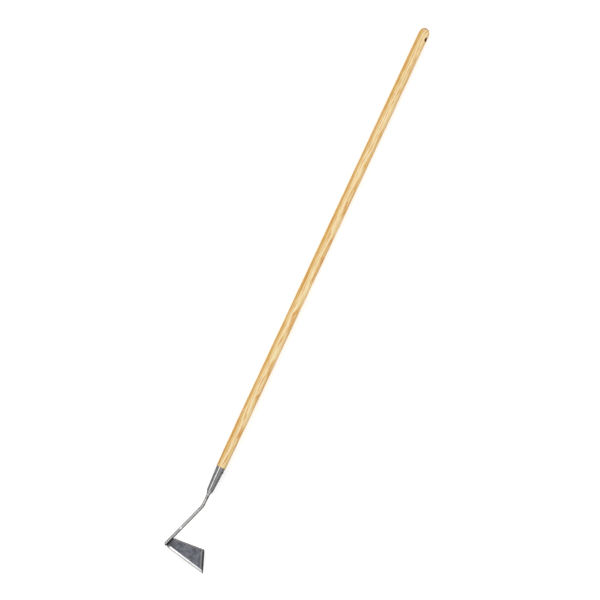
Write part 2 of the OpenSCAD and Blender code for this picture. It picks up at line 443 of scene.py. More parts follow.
@dataclass(frozen=True)
class AshWood:
    """Ash, turned along the grain, sanded and oiled.

    Ash is pale cream with tan early wood in each year's ring. The rings are cut almost along their
    length, so they show as long streaks and flames. Oil gives a soft sheen and deepens the tan at a
    grazing look. End grain and drilled wood drink more oil and are darker. Painted shade darkens
    and gilds both sides of the round handle, and darkens the bore's wood more with its depth.

    Attributes:
        pale: late wood.
        tan: early wood.
        deep: the lines of open pores.
        side_shade_colour: painted shade, the colour that darkens and gilds both sides of the round
            handle.
        thirsty: end grain.
        rubbed: the countersink's wood, browned by its cutter.
        bore_wood_and_shade: the dark brown of the bore's wood, from the drill and from painted
            shade that grows with depth.
        sheen: tint of the oil film.
        side_shade_shift: how far the middle free of painted shade lies off the axis, as a share of
            radius.
        side_shade_reach: the painted side shade is full at the radius divided by this.
        ring: width of a year's ring in millimetres.
        ring_share: how much a ring's early wood counts in the shade.
        fleck_share: how much the flecks count in the shade.
        pore_share: how strongly the open pores show.
        streak: length and width of the short flecks in millimetres.
        pore: length and width of the open pores in millimetres, drawn wider than the real 0.2 mm.
        pith: distance of the tree's middle from the handle's axis, sideways and up, in millimetres.
        sway: how far the grain wanders sideways, in millimetres.
    """

    pale: str = "#F0E4C2"
    tan: str = "#E3BE82"
    deep: str = "#D29C5C"
    side_shade_colour: str = "#E5C67A"
    thirsty: str = "#9E6020"
    rubbed: str = "#8E5116"
    bore_wood_and_shade: str = "#482810"
    sheen: str = "#FCF3E0"
    side_shade_shift: float = 0.12
    side_shade_reach: float = 1.12
    ring: float = 4.2
    ring_share: float = 0.50
    fleck_share: float = 0.95
    pore_share: float = 0.55
    streak: tuple[float, float] = (27.0, 3.2)
    pore: tuple[float, float] = (9.0, 0.7)
    pith: tuple[float, float] = (38.0, -61.0)
    sway: float = 16.0

    def material(self, middle: np.ndarray, radius: float) -> bpy.types.Material:
        """Builds the finish.

        Args:
            middle: a point on the handle's axis, in metres in the frame.
            radius: the handle's radius in millimetres.

        Returns:
            The material.
        """
        made, tree, shader = new_material("oiled_ash")
        place = add(tree, "TexCoord").outputs["Object"]
        bent = self._bent(tree, place)
        rings = self._rings(tree, bent, middle)
        flecks = stretched(tree, bent, self.streak, detail=3.0)
        pores = stretched(tree, place, self.pore, detail=2.0)
        early = add(tree, "Math", {0: rings, 1: self.ring_share}, operation="MULTIPLY").outputs[0]
        shade = add(tree, "Math", {0: flecks, 1: self.fleck_share, 2: early},
                    operation="MULTIPLY_ADD").outputs[0]
        body = add(tree, "ValToRGB", {"Fac": shade}, [
            (0.60, paint(self.pale)), (0.86, paint(self.tan)), (1.0, paint(self.deep))]).outputs[0]
        opened = add(tree, "ValToRGB", {"Fac": pores},
                     [(0.60, grey(0)), (0.72, grey(1))]).outputs[0]
        in_early = add(tree, "Math", {0: opened, 1: rings}, operation="MULTIPLY").outputs[0]
        porous = add(tree, "Math", {0: in_early, 1: self.pore_share},
                     operation="MULTIPLY").outputs[0]
        # Painted shade: a colour multiplied over both sides of the round handle darkens and gilds
        # them.
        sides = self._side_shade(tree, bent, middle, radius)
        colour = add(tree, "Mix", {0: sides, 6: body, 7: paint(self.side_shade_colour)}, data_type="RGBA",
                     blend_type="MULTIPLY").outputs[2]
        end, drilled = (add(tree, "Attribute", attribute_name=mark.value).outputs["Fac"]
                        for mark in (Mark.END_GRAIN, Mark.DRILLED_AND_SHADED))
        # The lower half of the drilled mark browns the wood, the upper half darkens it as drilled
        # wood and as painted shade that deepens into the bore.
        browned = add(tree, "MapRange", {"Value": drilled, "From Max": 0.5}).outputs[0]
        bore_depth_shade = add(tree, "MapRange", {"Value": drilled, "From Min": 0.5}).outputs[0]
        for share, code in ((porous, self.deep), (end, self.thirsty), (browned, self.rubbed),
                            (bore_depth_shade, self.bore_wood_and_shade)):
            colour = add(tree, "Mix", {0: share, 6: colour, 7: paint(code)},
                         data_type="RGBA").outputs[2]
        tree.links.new(colour, shader.inputs["Base Color"])
        rough = add(tree, "MapRange", {"Value": shade, "To Min": 0.42, "To Max": 0.56}).outputs[0]
        tree.links.new(rough, shader.inputs["Roughness"])
        relief = add(tree, "Math", {0: in_early, 1: -1.0, 2: flecks},
                     operation="MULTIPLY_ADD").outputs[0]
        bump = add(tree, "Bump", {"Height": relief, "Strength": 0.25,
                                  "Distance": 0.4 * MM}).outputs[0]
        tree.links.new(bump, shader.inputs["Normal"])
        shader.inputs["IOR"].default_value = 1.5
        shader.inputs["Coat Weight"].default_value = 1.0
        shader.inputs["Coat Roughness"].default_value = 0.35
        shader.inputs["Coat IOR"].default_value = 1.25
        shader.inputs["Coat Tint"].default_value = paint(self.sheen)
        return made

    def _bent(self, tree: bpy.types.NodeTree, place: bpy.types.NodeSocket) -> bpy.types.NodeSocket:
        """Bends the grain: adds a slow wave, long along the handle, to the sideways coordinates.

        Args:
            tree: the tree that it goes in.
            place: the coordinates.

        Returns:
            The bent coordinates.
        """
        # Seven waves to a metre of the handle, and thirty to a metre across it.
        slow = add(tree, "Mapping", {"Vector": place, "Scale": (7.0, 30.0, 30.0)}).outputs[0]
        wave = add(tree, "TexNoise", {"Vector": slow, "Scale": 1.0, "Detail": 2.0,
                                      "Roughness": 0.45}).outputs["Color"]
        middle = add(tree, "VectorMath", {0: wave, 1: (0.5, 0.5, 0.5)},
                     operation="SUBTRACT").outputs[0]
        sized = add(tree, "VectorMath", {0: middle, 1: (0.0, self.sway * MM, self.sway * MM)},
                    operation="MULTIPLY").outputs[0]
        return add(tree, "VectorMath", {0: place, 1: sized}, operation="ADD").outputs[0]

    def _rings(self, tree: bpy.types.NodeTree, bent: bpy.types.NodeSocket,
               middle: np.ndarray) -> bpy.types.NodeSocket:
        """Draws the year rings: a saw of the distance from the pith, slow to rise, quick to drop.

        Args:
            tree: the tree that it goes in.
            bent: the bent coordinates.
            middle: a point on the handle's axis.

        Returns:
            How much each place belongs to early wood.
        """
        pith = (0.0, middle[1] + self.pith[0] * MM, middle[2] + self.pith[1] * MM)
        out = add(tree, "VectorMath", {0: bent, 1: pith}, operation="SUBTRACT").outputs[0]
        across = add(tree, "VectorMath", {0: out, 1: (0.0, 1.0, 1.0)},
                     operation="MULTIPLY").outputs[0]
        distance = add(tree, "VectorMath", {0: across}, operation="LENGTH").outputs["Value"]
        years = add(tree, "Math", {0: distance, 1: self.ring * MM}, operation="DIVIDE").outputs[0]
        share = add(tree, "Math", {0: years}, operation="FRACT").outputs[0]
        return add(tree, "ValToRGB", {"Fac": share}, [
            (0.0, grey(0.10)), (0.45, grey(0.25)), (0.80, grey(0.9)), (1.0, grey(0.15))]).outputs[0]

    def _side_shade(self, tree: bpy.types.NodeTree, bent: bpy.types.NodeSocket, middle: np.ndarray,
               radius: float) -> bpy.types.NodeSocket:
        """Finds the painted side shade: the square of the sideways distance times reach over
        radius.

        Args:
            tree: the tree that it goes in.
            bent: the bent coordinates.
            middle: a point on the handle's axis.
            radius: the handle's radius in millimetres.

        Returns:
            0 in the pale middle to 1 on both sides, where the painted shade is full.
        """
        off = (0.0, middle[1] - self.side_shade_shift * radius * MM, 0.0)
        out = add(tree, "VectorMath", {0: bent, 1: off}, operation="SUBTRACT").outputs[0]
        share = add(tree, "VectorMath", {0: out, 1: (0.0, self.side_shade_reach / (radius * MM), 0.0)},
                    operation="MULTIPLY").outputs[0]
        reach = add(tree, "VectorMath", {0: share}, operation="LENGTH").outputs["Value"]
        return add(tree, "Math", {0: reach, 1: 2.0}, operation="POWER", use_clamp=True).outputs[0]


@dataclass(frozen=True)
class Steel:
    """Stainless steel with a worked surface.

    Attributes:
        name: the material's name.
        colour: the reflection looked at straight on.
        cloud: the reflection in the duller clouds.
        ground: the reflection where it is freshly ground, also laid on as painted highlights.
        polished: the reflection where it is polished, which shows the dim room more sharply.
        burnished: the reflection of a thin painted highlight line.
        rough: roughness of the bright and of the dull places.
        ground_rough: roughness where it is ground or polished.
        mark_rough: how much the marks add to the roughness.
        cloud_size: size of the clouds in millimetres.
        marks: length and spacing of the grinding marks in millimetres, coarser than real grit.
        marks_way: turn of the marks about the frame's Z axis.
        relief: height of the marks, as the strength of the bump.
        tint: colour near a weld or at a hot ground edge, also laid on as painted shade.
    """

    name: str
    colour: str
    cloud: str
    ground: str = "#CCCCCE"
    polished: str = "#B0AEAC"
    burnished: str = "#FFFFFF"
    rough: tuple[float, float] = (0.20, 0.34)
    ground_rough: float = 0.12
    mark_rough: float = 0.08
    cloud_size: float = 14.0
    marks: tuple[float, float] = (14.0, 0.5)
    marks_way: float = 0.0
    relief: float = 0.12
    tint: str = "#6B5646"

    def material(self) -> bpy.types.Material:
        """Builds the finish.

        Returns:
            The material.
        """
        made, tree, shader = new_material(self.name)
        place = add(tree, "TexCoord").outputs["Object"]
        clouds = add(tree, "TexNoise", {"Vector": place, "Scale": 1 / (self.cloud_size * MM),
                                        "Detail": 4.0, "Roughness": 0.6}).outputs["Fac"]
        dull = add(tree, "ValToRGB", {"Fac": clouds}, [(0.38, grey(0)), (0.60, grey(1))]).outputs[0]
        turned = add(tree, "VectorRotate", {"Vector": place, "Angle": math.radians(self.marks_way)},
                     rotation_type="Z_AXIS").outputs[0]
        scratches = stretched(tree, turned, self.marks, detail=3.0)
        worked = (Mark.GROUND_AND_HIGHLIGHT, Mark.POLISHED, Mark.HIGHLIGHT_LINE, Mark.HEAT_TINT_AND_SHADE, Mark.EDGE)
        ground, polished, burnished, tint_and_shade, edge = (
            add(tree, "Attribute", attribute_name=mark.value).outputs["Fac"] for mark in worked)
        # The ground share also carries painted highlights.
        clean = add(tree, "Math", {0: ground, 1: polished}, operation="MAXIMUM").outputs[0]
        # The tint share carries painted shade as well as weld tint.
        tinted_and_shaded = add(tree, "Math", {0: tint_and_shade, 1: edge}, operation="MAXIMUM").outputs[0]
        left = add(tree, "Math", {0: 1.0, 1: clean}, operation="SUBTRACT").outputs[0]
        clouded = add(tree, "Math", {0: dull, 1: left}, operation="MULTIPLY").outputs[0]
        colour = paint(self.colour)
        for share, code in ((clouded, self.cloud), (polished, self.polished), (ground, self.ground),
                            (burnished, self.burnished), (tinted_and_shaded, self.tint)):
            colour = add(tree, "Mix", {0: share, 6: colour, 7: paint(code)},
                         data_type="RGBA").outputs[2]
        tree.links.new(colour, shader.inputs["Base Color"])
        face = add(tree, "MapRange", {"Value": clouded, "To Min": self.rough[0],
                                      "To Max": self.rough[1]}).outputs[0]
        even = add(tree, "MapRange", {"Value": clean, "To Min": face,
                                      "To Max": self.ground_rough}).outputs[0]
        rough = add(tree, "Math", {0: scratches, 1: self.mark_rough, 2: even},
                    operation="MULTIPLY_ADD").outputs[0]
        tree.links.new(rough, shader.inputs["Roughness"])
        bump = add(tree, "Bump", {"Height": scratches, "Strength": self.relief,
                                  "Distance": 0.2 * MM}).outputs[0]
        tree.links.new(bump, shader.inputs["Normal"])
        shader.inputs["Metallic"].default_value = 1.0
        return made


@dataclass(frozen=True)
class WeldSteel:
    """Weld metal as it froze: a dark scale that has come off in places.

    Attributes:
        name: the material's name.
        scale: the dark scale.
        bare: places where the scale has come off.
        grain: size of the scale's patches in millimetres.
        bare_from: noise above this share is bare, from 0 to 1.
    """

    name: str
    scale: str = "#1C1A19"
    bare: str = "#A09D9A"
    grain: float = 2.2
    bare_from: float = 0.66

    def material(self) -> bpy.types.Material:
        """Builds the finish.

        Returns:
            The material.
        """
        made, tree, shader = new_material(self.name)
        place = add(tree, "TexCoord").outputs["Object"]
        patch = add(tree, "TexNoise", {"Vector": place, "Scale": 1 / (self.grain * MM),
                                       "Detail": 3.0}).outputs["Fac"]
        bare = add(tree, "ValToRGB", {"Fac": patch}, [
            (self.bare_from - 0.06, grey(0)), (self.bare_from, grey(1))]).outputs[0]
        colour = add(tree, "Mix", {0: bare, 6: paint(self.scale), 7: paint(self.bare)},
                     data_type="RGBA").outputs[2]
        tree.links.new(colour, shader.inputs["Base Color"])
        rough = add(tree, "MapRange", {"Value": bare, "To Min": 0.5, "To Max": 0.28}).outputs[0]
        tree.links.new(rough, shader.inputs["Roughness"])
        bump = add(tree, "Bump", {"Height": patch, "Strength": 0.4,
                                  "Distance": 0.3 * MM}).outputs[0]
        tree.links.new(bump, shader.inputs["Normal"])
        shader.inputs["Metallic"].default_value = 1.0
        return made


# The hoe's sub-assemblies

@dataclass(frozen=True)
class HoeLayout:
    """Sizes that more than one sub-assembly needs, in millimetres and degrees.

    Attributes:
        handle_len: from the socket's mouth to the handle's top.
        handle_d: thickness of the shaft.
        hole_down: from the handle's top to the hanging hole.
        mouth_d, toe_d: outside of the socket's cone at both ends.
        socket_len: length of the cone.
        nose_len, nose_d: the narrow end after the cone.
        nose_seat: length of the nose that grips the bar.
        socket_wall: thickness of the socket's sheet.
        rod_d: thickness of the bar.
        rod_inside: length of the bar inside the socket.
        rod_lead: from the socket's mouth to the sharp corner of the bar's bend.
        arm_len, arm_turn: from that corner to the tip, and the turn of the bend.
        corner_past: how far the blade's front edge passes the tip.
    """

    handle_len: float = 1395.0
    handle_d: float = 31.0
    hole_down: float = 33.0
    mouth_d: float = 26.2
    toe_d: float = 19.0
    socket_len: float = 75.5
    nose_len: float = 10.5
    nose_d: float = 11.8
    nose_seat: float = 4.0
    socket_wall: float = 1.6
    rod_d: float = 9.5
    rod_inside: float = 20.0
    rod_lead: float = 123.5
    arm_len: float = 155.5
    arm_turn: float = 19.5
    corner_past: float = 2.0

    @property
    def socket_end(self) -> float:
        """Distance from the socket's mouth to the end of its nose."""
        return self.socket_len + self.nose_len

    @property
    def rod_r(self) -> float:
        """Radius of the neck rod."""
        return self.rod_d / 2

    def socket_r(self, down: float) -> float:
        """Outer radius of the socket at a distance from its mouth."""
        return (self.mouth_d + (self.toe_d - self.mouth_d) * down / self.socket_len) / 2

    def bore_r(self, down: float) -> float:
        """Inner radius of the socket at a distance from its mouth."""
        return self.socket_r(down) - self.socket_wall

    def tool(self, record: dict) -> Placing:
        """Finds the hoe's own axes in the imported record.

        The origin is on the handle's axis at the socket's mouth. X runs to the handle's top, and Y
        to the side that the neck is cranked to.

        Args:
            record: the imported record, whose mounts give the hole's place and the handle's axis.

        Returns:
            The placing.
        """
        mounts = {mount["name"]: mount for mount in record["mounts"]}
        along = unit(mounts["handle_shaft"]["axis"])
        side = np.array([0.0, 1.0, 0.0])
        axes = np.array([along, side, np.cross(along, side)])
        hole = np.array(mounts["hanging_hole"]["pos_m"], float)
        return Placing(hole - (self.handle_len - self.hole_down) * MM * along, axes)

    def arm(self, tool: Placing) -> Placing:
        """Returns the arm's axes: origin at the corner of the bend, X towards the rod's tip."""
        return tool.moved([-self.rod_lead, 0, 0]).turned_z(180 - self.arm_turn)


@dataclass
class Handle:
    """The turned handle: tenon, shoulder, taper, straight shaft, rounded top and hanging hole.

    Attributes:
        layout: sizes shared with the other pieces.
        foot_d, foot_taper, foot_round: thickness, taper and rim of the foot over the socket.
        top_round, top_power: length and fullness of the rounded top.
        tenon_room, tenon_chamfer, tenon_gap: air before the bar, end chamfer and side clearance.
        hole_d, hole_chamfer, hole_turn: the hanging hole, and its turn about the handle.
        rim_ease: rounding of the chamfer's rim.
        end_from: sine of the lean of the surface from which end grain shows.
        columns: points round the handle.
        patch_columns, patch_half: half the size of the block of the grid that the hole takes.
    """

    layout: HoeLayout
    foot_d: float = 27.6
    foot_taper: float = 140.0
    foot_round: float = 1.4
    top_round: float = 23.0
    top_power: float = 3.0
    tenon_room: float = 8.0
    tenon_chamfer: float = 1.5
    tenon_gap: float = 0.05
    hole_d: float = 10.0
    hole_chamfer: float = 2.2
    hole_turn: float = 57.0
    rim_ease: float = 0.5
    end_from: float = 0.35
    columns: int = 120
    patch_columns: int = 12
    patch_half: float = 10.0

    def profile(self) -> np.ndarray:
        """Works out the turned profile.

        The top's radius is the handle's times the root of one less the cube of the share of the
        way into the rounding. The shoulder's rim is a quarter of a circle.

        Returns:
            Rows of distance along the axis and radius.
        """
        layout = self.layout
        radius = layout.handle_d / 2
        tenon_len = layout.socket_end - layout.rod_inside - self.tenon_room
        tip_r = layout.bore_r(tenon_len) - self.tenon_gap
        root_r = layout.bore_r(0) - self.tenon_gap
        foot_r = self.foot_d / 2
        tenon = eased_profile([(-tenon_len, 0, 0), (-tenon_len, tip_r - self.tenon_chamfer, 0.3),
                               (-tenon_len + self.tenon_chamfer, tip_r, 0.3), (0, root_r, 0)])
        turn = np.linspace(0, math.pi / 2, 7)
        rim = np.stack([self.foot_round * (1 - np.cos(turn)),
                        foot_r - self.foot_round * (1 - np.sin(turn))], axis=1)
        taper = eased_profile([(self.foot_round, foot_r, 0), (self.foot_taper, radius, 20),
                               (self.foot_taper + 20, radius, 0)], count=9)
        taper = divided(taper, 12.0)[1:-1]
        hole = layout.handle_len - layout.hole_down
        start = layout.handle_len - self.top_round
        shaft_x = steps((self.foot_taper + 20, hole - self.patch_half, 64),
                        (hole - self.patch_half, hole + self.patch_half, 20))
        shaft = np.stack([shaft_x, np.full(len(shaft_x), radius)], axis=1)
        share = np.sin(np.linspace(0, math.pi / 2, 29)[1:])
        top = np.stack([start + self.top_round * share,
                        radius * np.sqrt(1 - share ** self.top_power)], axis=1)
        top = top[top[:, 0] > hole + self.patch_half + 0.3]
        return np.concatenate([tenon, rim, taper, shaft, top])

    def build(self, tool: Placing) -> bpy.types.Object:
        """Builds the handle's surface, with the hanging hole worked into it.

        Round each mouth of the hole a block of the turned grid is left out. Rings run from the edge
        of that block to the rim of the chamfer, down the chamfer, and through the bore to the other
        mouth.

        Args:
            tool: the hoe's own axes.

        Returns:
            The piece.
        """
        profile = self.profile()
        rows, columns = len(profile), self.columns
        hole = self.layout.handle_len - self.layout.hole_down
        mouth_turn = math.radians(90 + self.hole_turn)
        first = round(mouth_turn / (2 * math.pi) * columns)
        shift = mouth_turn - first * 2 * math.pi / columns
        low, high = (int(np.argmin(np.abs(profile[:, 0] - (hole + way * self.patch_half))))
                     for way in (-1, 1))
        keep = np.ones((rows - 1, columns), bool)
        for side in (0, columns // 2):
            taken = (first + side + np.arange(-self.patch_columns, self.patch_columns)) % columns
            keep[low:high, taken] = False
        # End grain starts where the surface leans by end_from, and is full half a unit later.
        slope = np.gradient(profile[:, 1], profile[:, 0] + np.arange(rows) * 1e-9)
        lean = np.clip(np.abs(slope), 0, 6)
        end = smooth((lean / np.sqrt(1 + lean ** 2) - self.end_from) / 0.5)
        turned = Grid(tool.points(around(profile, columns, shift)), keep=keep,
                      marks={Mark.END_GRAIN.value: end[:, None]})
        rings, drilled = self._hole_rings(profile, low, high)
        passage = Grid(tool.points(rings), marks={Mark.DRILLED_AND_SHADED.value: drilled[:, None]})
        piece = make_piece("ash_handle", [turned, passage], sharp=50)
        hand_over(piece, "handle")
        return piece

    def _hole_rings(self, profile: np.ndarray, low: int,
                    high: int) -> tuple[np.ndarray, np.ndarray]:
        """Works out the rings that lead through the hole.

        A ring goes round the hole's axis. On the handle's surface its height over the handle's axis
        is the root of the handle's radius squared less the point's sideways distance squared. On
        the chamfer it is the height of the cone, and the rim is where the two are equal, found by a
        few rounds of putting one into the other.

        Args:
            profile: the turned profile.
            low: row of the left-out block's first edge.
            high: row of its last edge.

        Returns:
            The rings of local points, and how much each ring belongs to the drilled wood and to the
            painted shade that deepens into the bore.
        """
        radius = self.layout.handle_d / 2
        bore = self.hole_d / 2
        hole = self.layout.handle_len - self.layout.hole_down
        half = self.patch_columns
        x_rows = profile[low:high + 1, 0] - hole
        across = np.arange(-half, half + 1) * 2 * math.pi / self.columns
        edge_x = np.concatenate([np.full(2 * half, x_rows[0]), x_rows[:-1],
                                 np.full(2 * half, x_rows[-1]), x_rows[:0:-1]])
        edge_turn = np.concatenate([across[:-1], np.full(len(x_rows) - 1, across[-1]),
                                    across[:0:-1], np.full(len(x_rows) - 1, across[0])])
        way = np.arctan2(radius * edge_turn, edge_x)
        rim = np.full(len(way), bore + self.hole_chamfer)
        for _ in range(20):
            height = np.sqrt(radius ** 2 - (rim * np.sin(way)) ** 2)
            rim = bore + height - radius + self.hole_chamfer
        rings, marks = [], []
        edge_r = np.sqrt(edge_x ** 2 + (radius * np.sin(edge_turn)) ** 2)
        edge_way = np.arctan2(radius * np.sin(edge_turn), edge_x)
        for share in steps((0, 1, 7)) ** 0.8:
            out = edge_r + (rim + self.rim_ease - edge_r) * share
            bearing = edge_way + (way - edge_way) * share
            x, w = out * np.cos(bearing), out * np.sin(bearing)
            row = profile_radius(profile, hole + x) if share < 1 else np.full(len(x), radius)
            height = np.sqrt(np.maximum(row ** 2 - w ** 2, 0))
            rings.append(np.stack([x, w, height], axis=1))
            marks.append(0.0)
        lip_height = np.sqrt(radius ** 2 - (rim * np.sin(way)) ** 2)
        for drop, mark in ((0.12, 0.15), (0.45, 0.35)):
            out = rim + self.rim_ease * (0.35 - drop) * 1.2
            rings.append(np.stack([out * np.cos(way), out * np.sin(way),
                                   lip_height - self.rim_ease * drop], axis=1))
            marks.append(mark)
        for share in (0.35, 0.7, 0.94):
            out = rim + (bore - rim) * share
            height = out - bore + radius - self.hole_chamfer
            rings.append(np.stack([out * np.cos(way), out * np.sin(way), height], axis=1))
            marks.append(0.42 + 0.3 * share)
        # Deeper in the bore the mark rises towards 1, which paints shade into the wood.
        wall = radius - self.hole_chamfer
        for height in steps((wall - 0.4, 1.0, 4)):
            rings.append(np.stack([bore * np.cos(way), bore * np.sin(way),
                                   np.full(len(way), height)], axis=1))
            marks.append(0.5 + 0.5 * min((wall - height) / 7.0, 1.0))
        near = np.array(rings)
        far = near[::-1] * np.array([1, 1, -1])
        both = np.concatenate([near, far])
        y = both[..., 1] * cos(self.hole_turn) - both[..., 2] * sin(self.hole_turn)
        z = both[..., 1] * sin(self.hole_turn) + both[..., 2] * cos(self.hole_turn)
        local = np.stack([hole + both[..., 0], y, z], axis=-1)
        return local, np.array(marks + marks[::-1])


@dataclass
class Socket:
    """The conical socket of sheet steel, whose end is drawn in to the neck and brushed.

    Attributes:
        layout: sizes shared with the other pieces.
        lip_ease, toe_ease, nose_ease: how much the corners of the profile are rounded.
        columns: points round the socket.
    """

    layout: HoeLayout
    lip_ease: float = 0.5
    toe_ease: float = 3.0
    nose_ease: float = 1.5
    columns: int = 112

    def build(self, tool: Placing) -> bpy.types.Object:
        """Builds the shell: the profile runs outside from mouth to nose, and back through the bore.

        Args:
            tool: the hoe's own axes.

        Returns:
            The piece.
        """
        layout = self.layout
        mouth_r, toe_r, nose_r = layout.mouth_d / 2, layout.toe_d / 2, layout.nose_d / 2
        end, toe, wall = -layout.socket_end, -layout.socket_len, layout.socket_wall
        outline = eased_profile([
            (0, mouth_r - wall / 2, 0), (0, mouth_r, self.lip_ease), (toe, toe_r, self.toe_ease),
            (end + 0.6, nose_r - 0.1, self.nose_ease), (end, layout.rod_r + 0.4, 0.3),
            (end, layout.rod_r, 0), (end + layout.nose_seat, layout.rod_r, 0),
            (toe, toe_r - wall, 1.5), (0, mouth_r - wall, 0.3), (0, mouth_r - wall / 2, 0),
        ], count=9)
        points = around(divided(outline, 3.0), self.columns)[::-1]
        brushed = smooth((toe + 1.0 - points[..., 0]) / 2.5)
        shell = Grid(tool.points(points), marks={Mark.GROUND_AND_HIGHLIGHT.value: brushed})
        piece = make_piece("steel_socket", [shell])
        hand_over(piece, "socket")
        return piece


@dataclass
class Rivet:
    """The rivet through socket and tenon: a domed head, a shank and a hammered tail.

    Attributes:
        layout: sizes shared with the other pieces.
        shank_d, head_d: thickness of the shank, and of both heads.
        head_h, tail_h: heights of the dome and of the flatter tail.
        down, turn: place of the rivet below the socket's mouth, and its turn about the handle.
        hammered: depth of the hammer marks.
        columns: points round the rivet.
    """

    layout: HoeLayout
    shank_d: float = 3.4
    head_d: float = 6.6
    head_h: float = 1.9
    tail_h: float = 1.1
    down: float = 13.0
    turn: float = 60.0
    hammered: float = 0.10
    columns: int = 56

    def build(self, tool: Placing) -> bpy.types.Object:
        """Builds the rivet as one turned surface along its own axis.

        Each dome's height falls with a power a little over two of the distance from its middle.
        Hammer marks are a slow wave round the dome.

        Args:
            tool: the hoe's own axes.

        Returns:
            The piece.
        """
        seat = self.layout.socket_r(self.down)
        head_r = self.head_d / 2
        sunk = seat - head_r ** 2 / (2 * seat) - 0.1
        share = steps((0, 1, 9))
        head = np.stack([seat + self.head_h * (1 - share ** 2.2), head_r * share], axis=1)
        tail = np.stack([-seat - self.tail_h * (1 - share ** 2.6), head_r * share], axis=1)[::-1]
        shank_r = self.shank_d / 2
        middle = np.array([[seat - 0.25, head_r + 0.05], [sunk, head_r - 0.1], [sunk, shank_r],
                           [0, shank_r], [-sunk, shank_r], [-sunk, head_r - 0.1],
                           [-seat + 0.25, head_r + 0.05]])
        profile = np.concatenate([head, middle, tail])
        points = around(profile, self.columns)
        angle = turns(self.columns)
        wave = np.sin(3 * angle + 1.0) * 0.6 + np.sin(5 * angle + 2.0) * 0.4
        struck = np.abs(profile[:, 0]) > seat - 0.3
        reach = (np.clip(profile[:, 1] / head_r, 0, 1) * struck)[:, None]
        points[..., 0] += np.sign(points[..., 0]) * self.hammered * reach * (1 - reach) * 3 * wave
        points[..., 1:] *= (1 + 0.02 * reach * wave)[..., None]
        own = tool.moved([-self.down, 0, 0]).turned_x(self.turn).turned_y(-90)
        piece = make_piece("socket_rivet_steel", [Grid(own.points(points[::-1]))], sharp=40)
        hand_over(piece, "socket_rivet")
        return piece


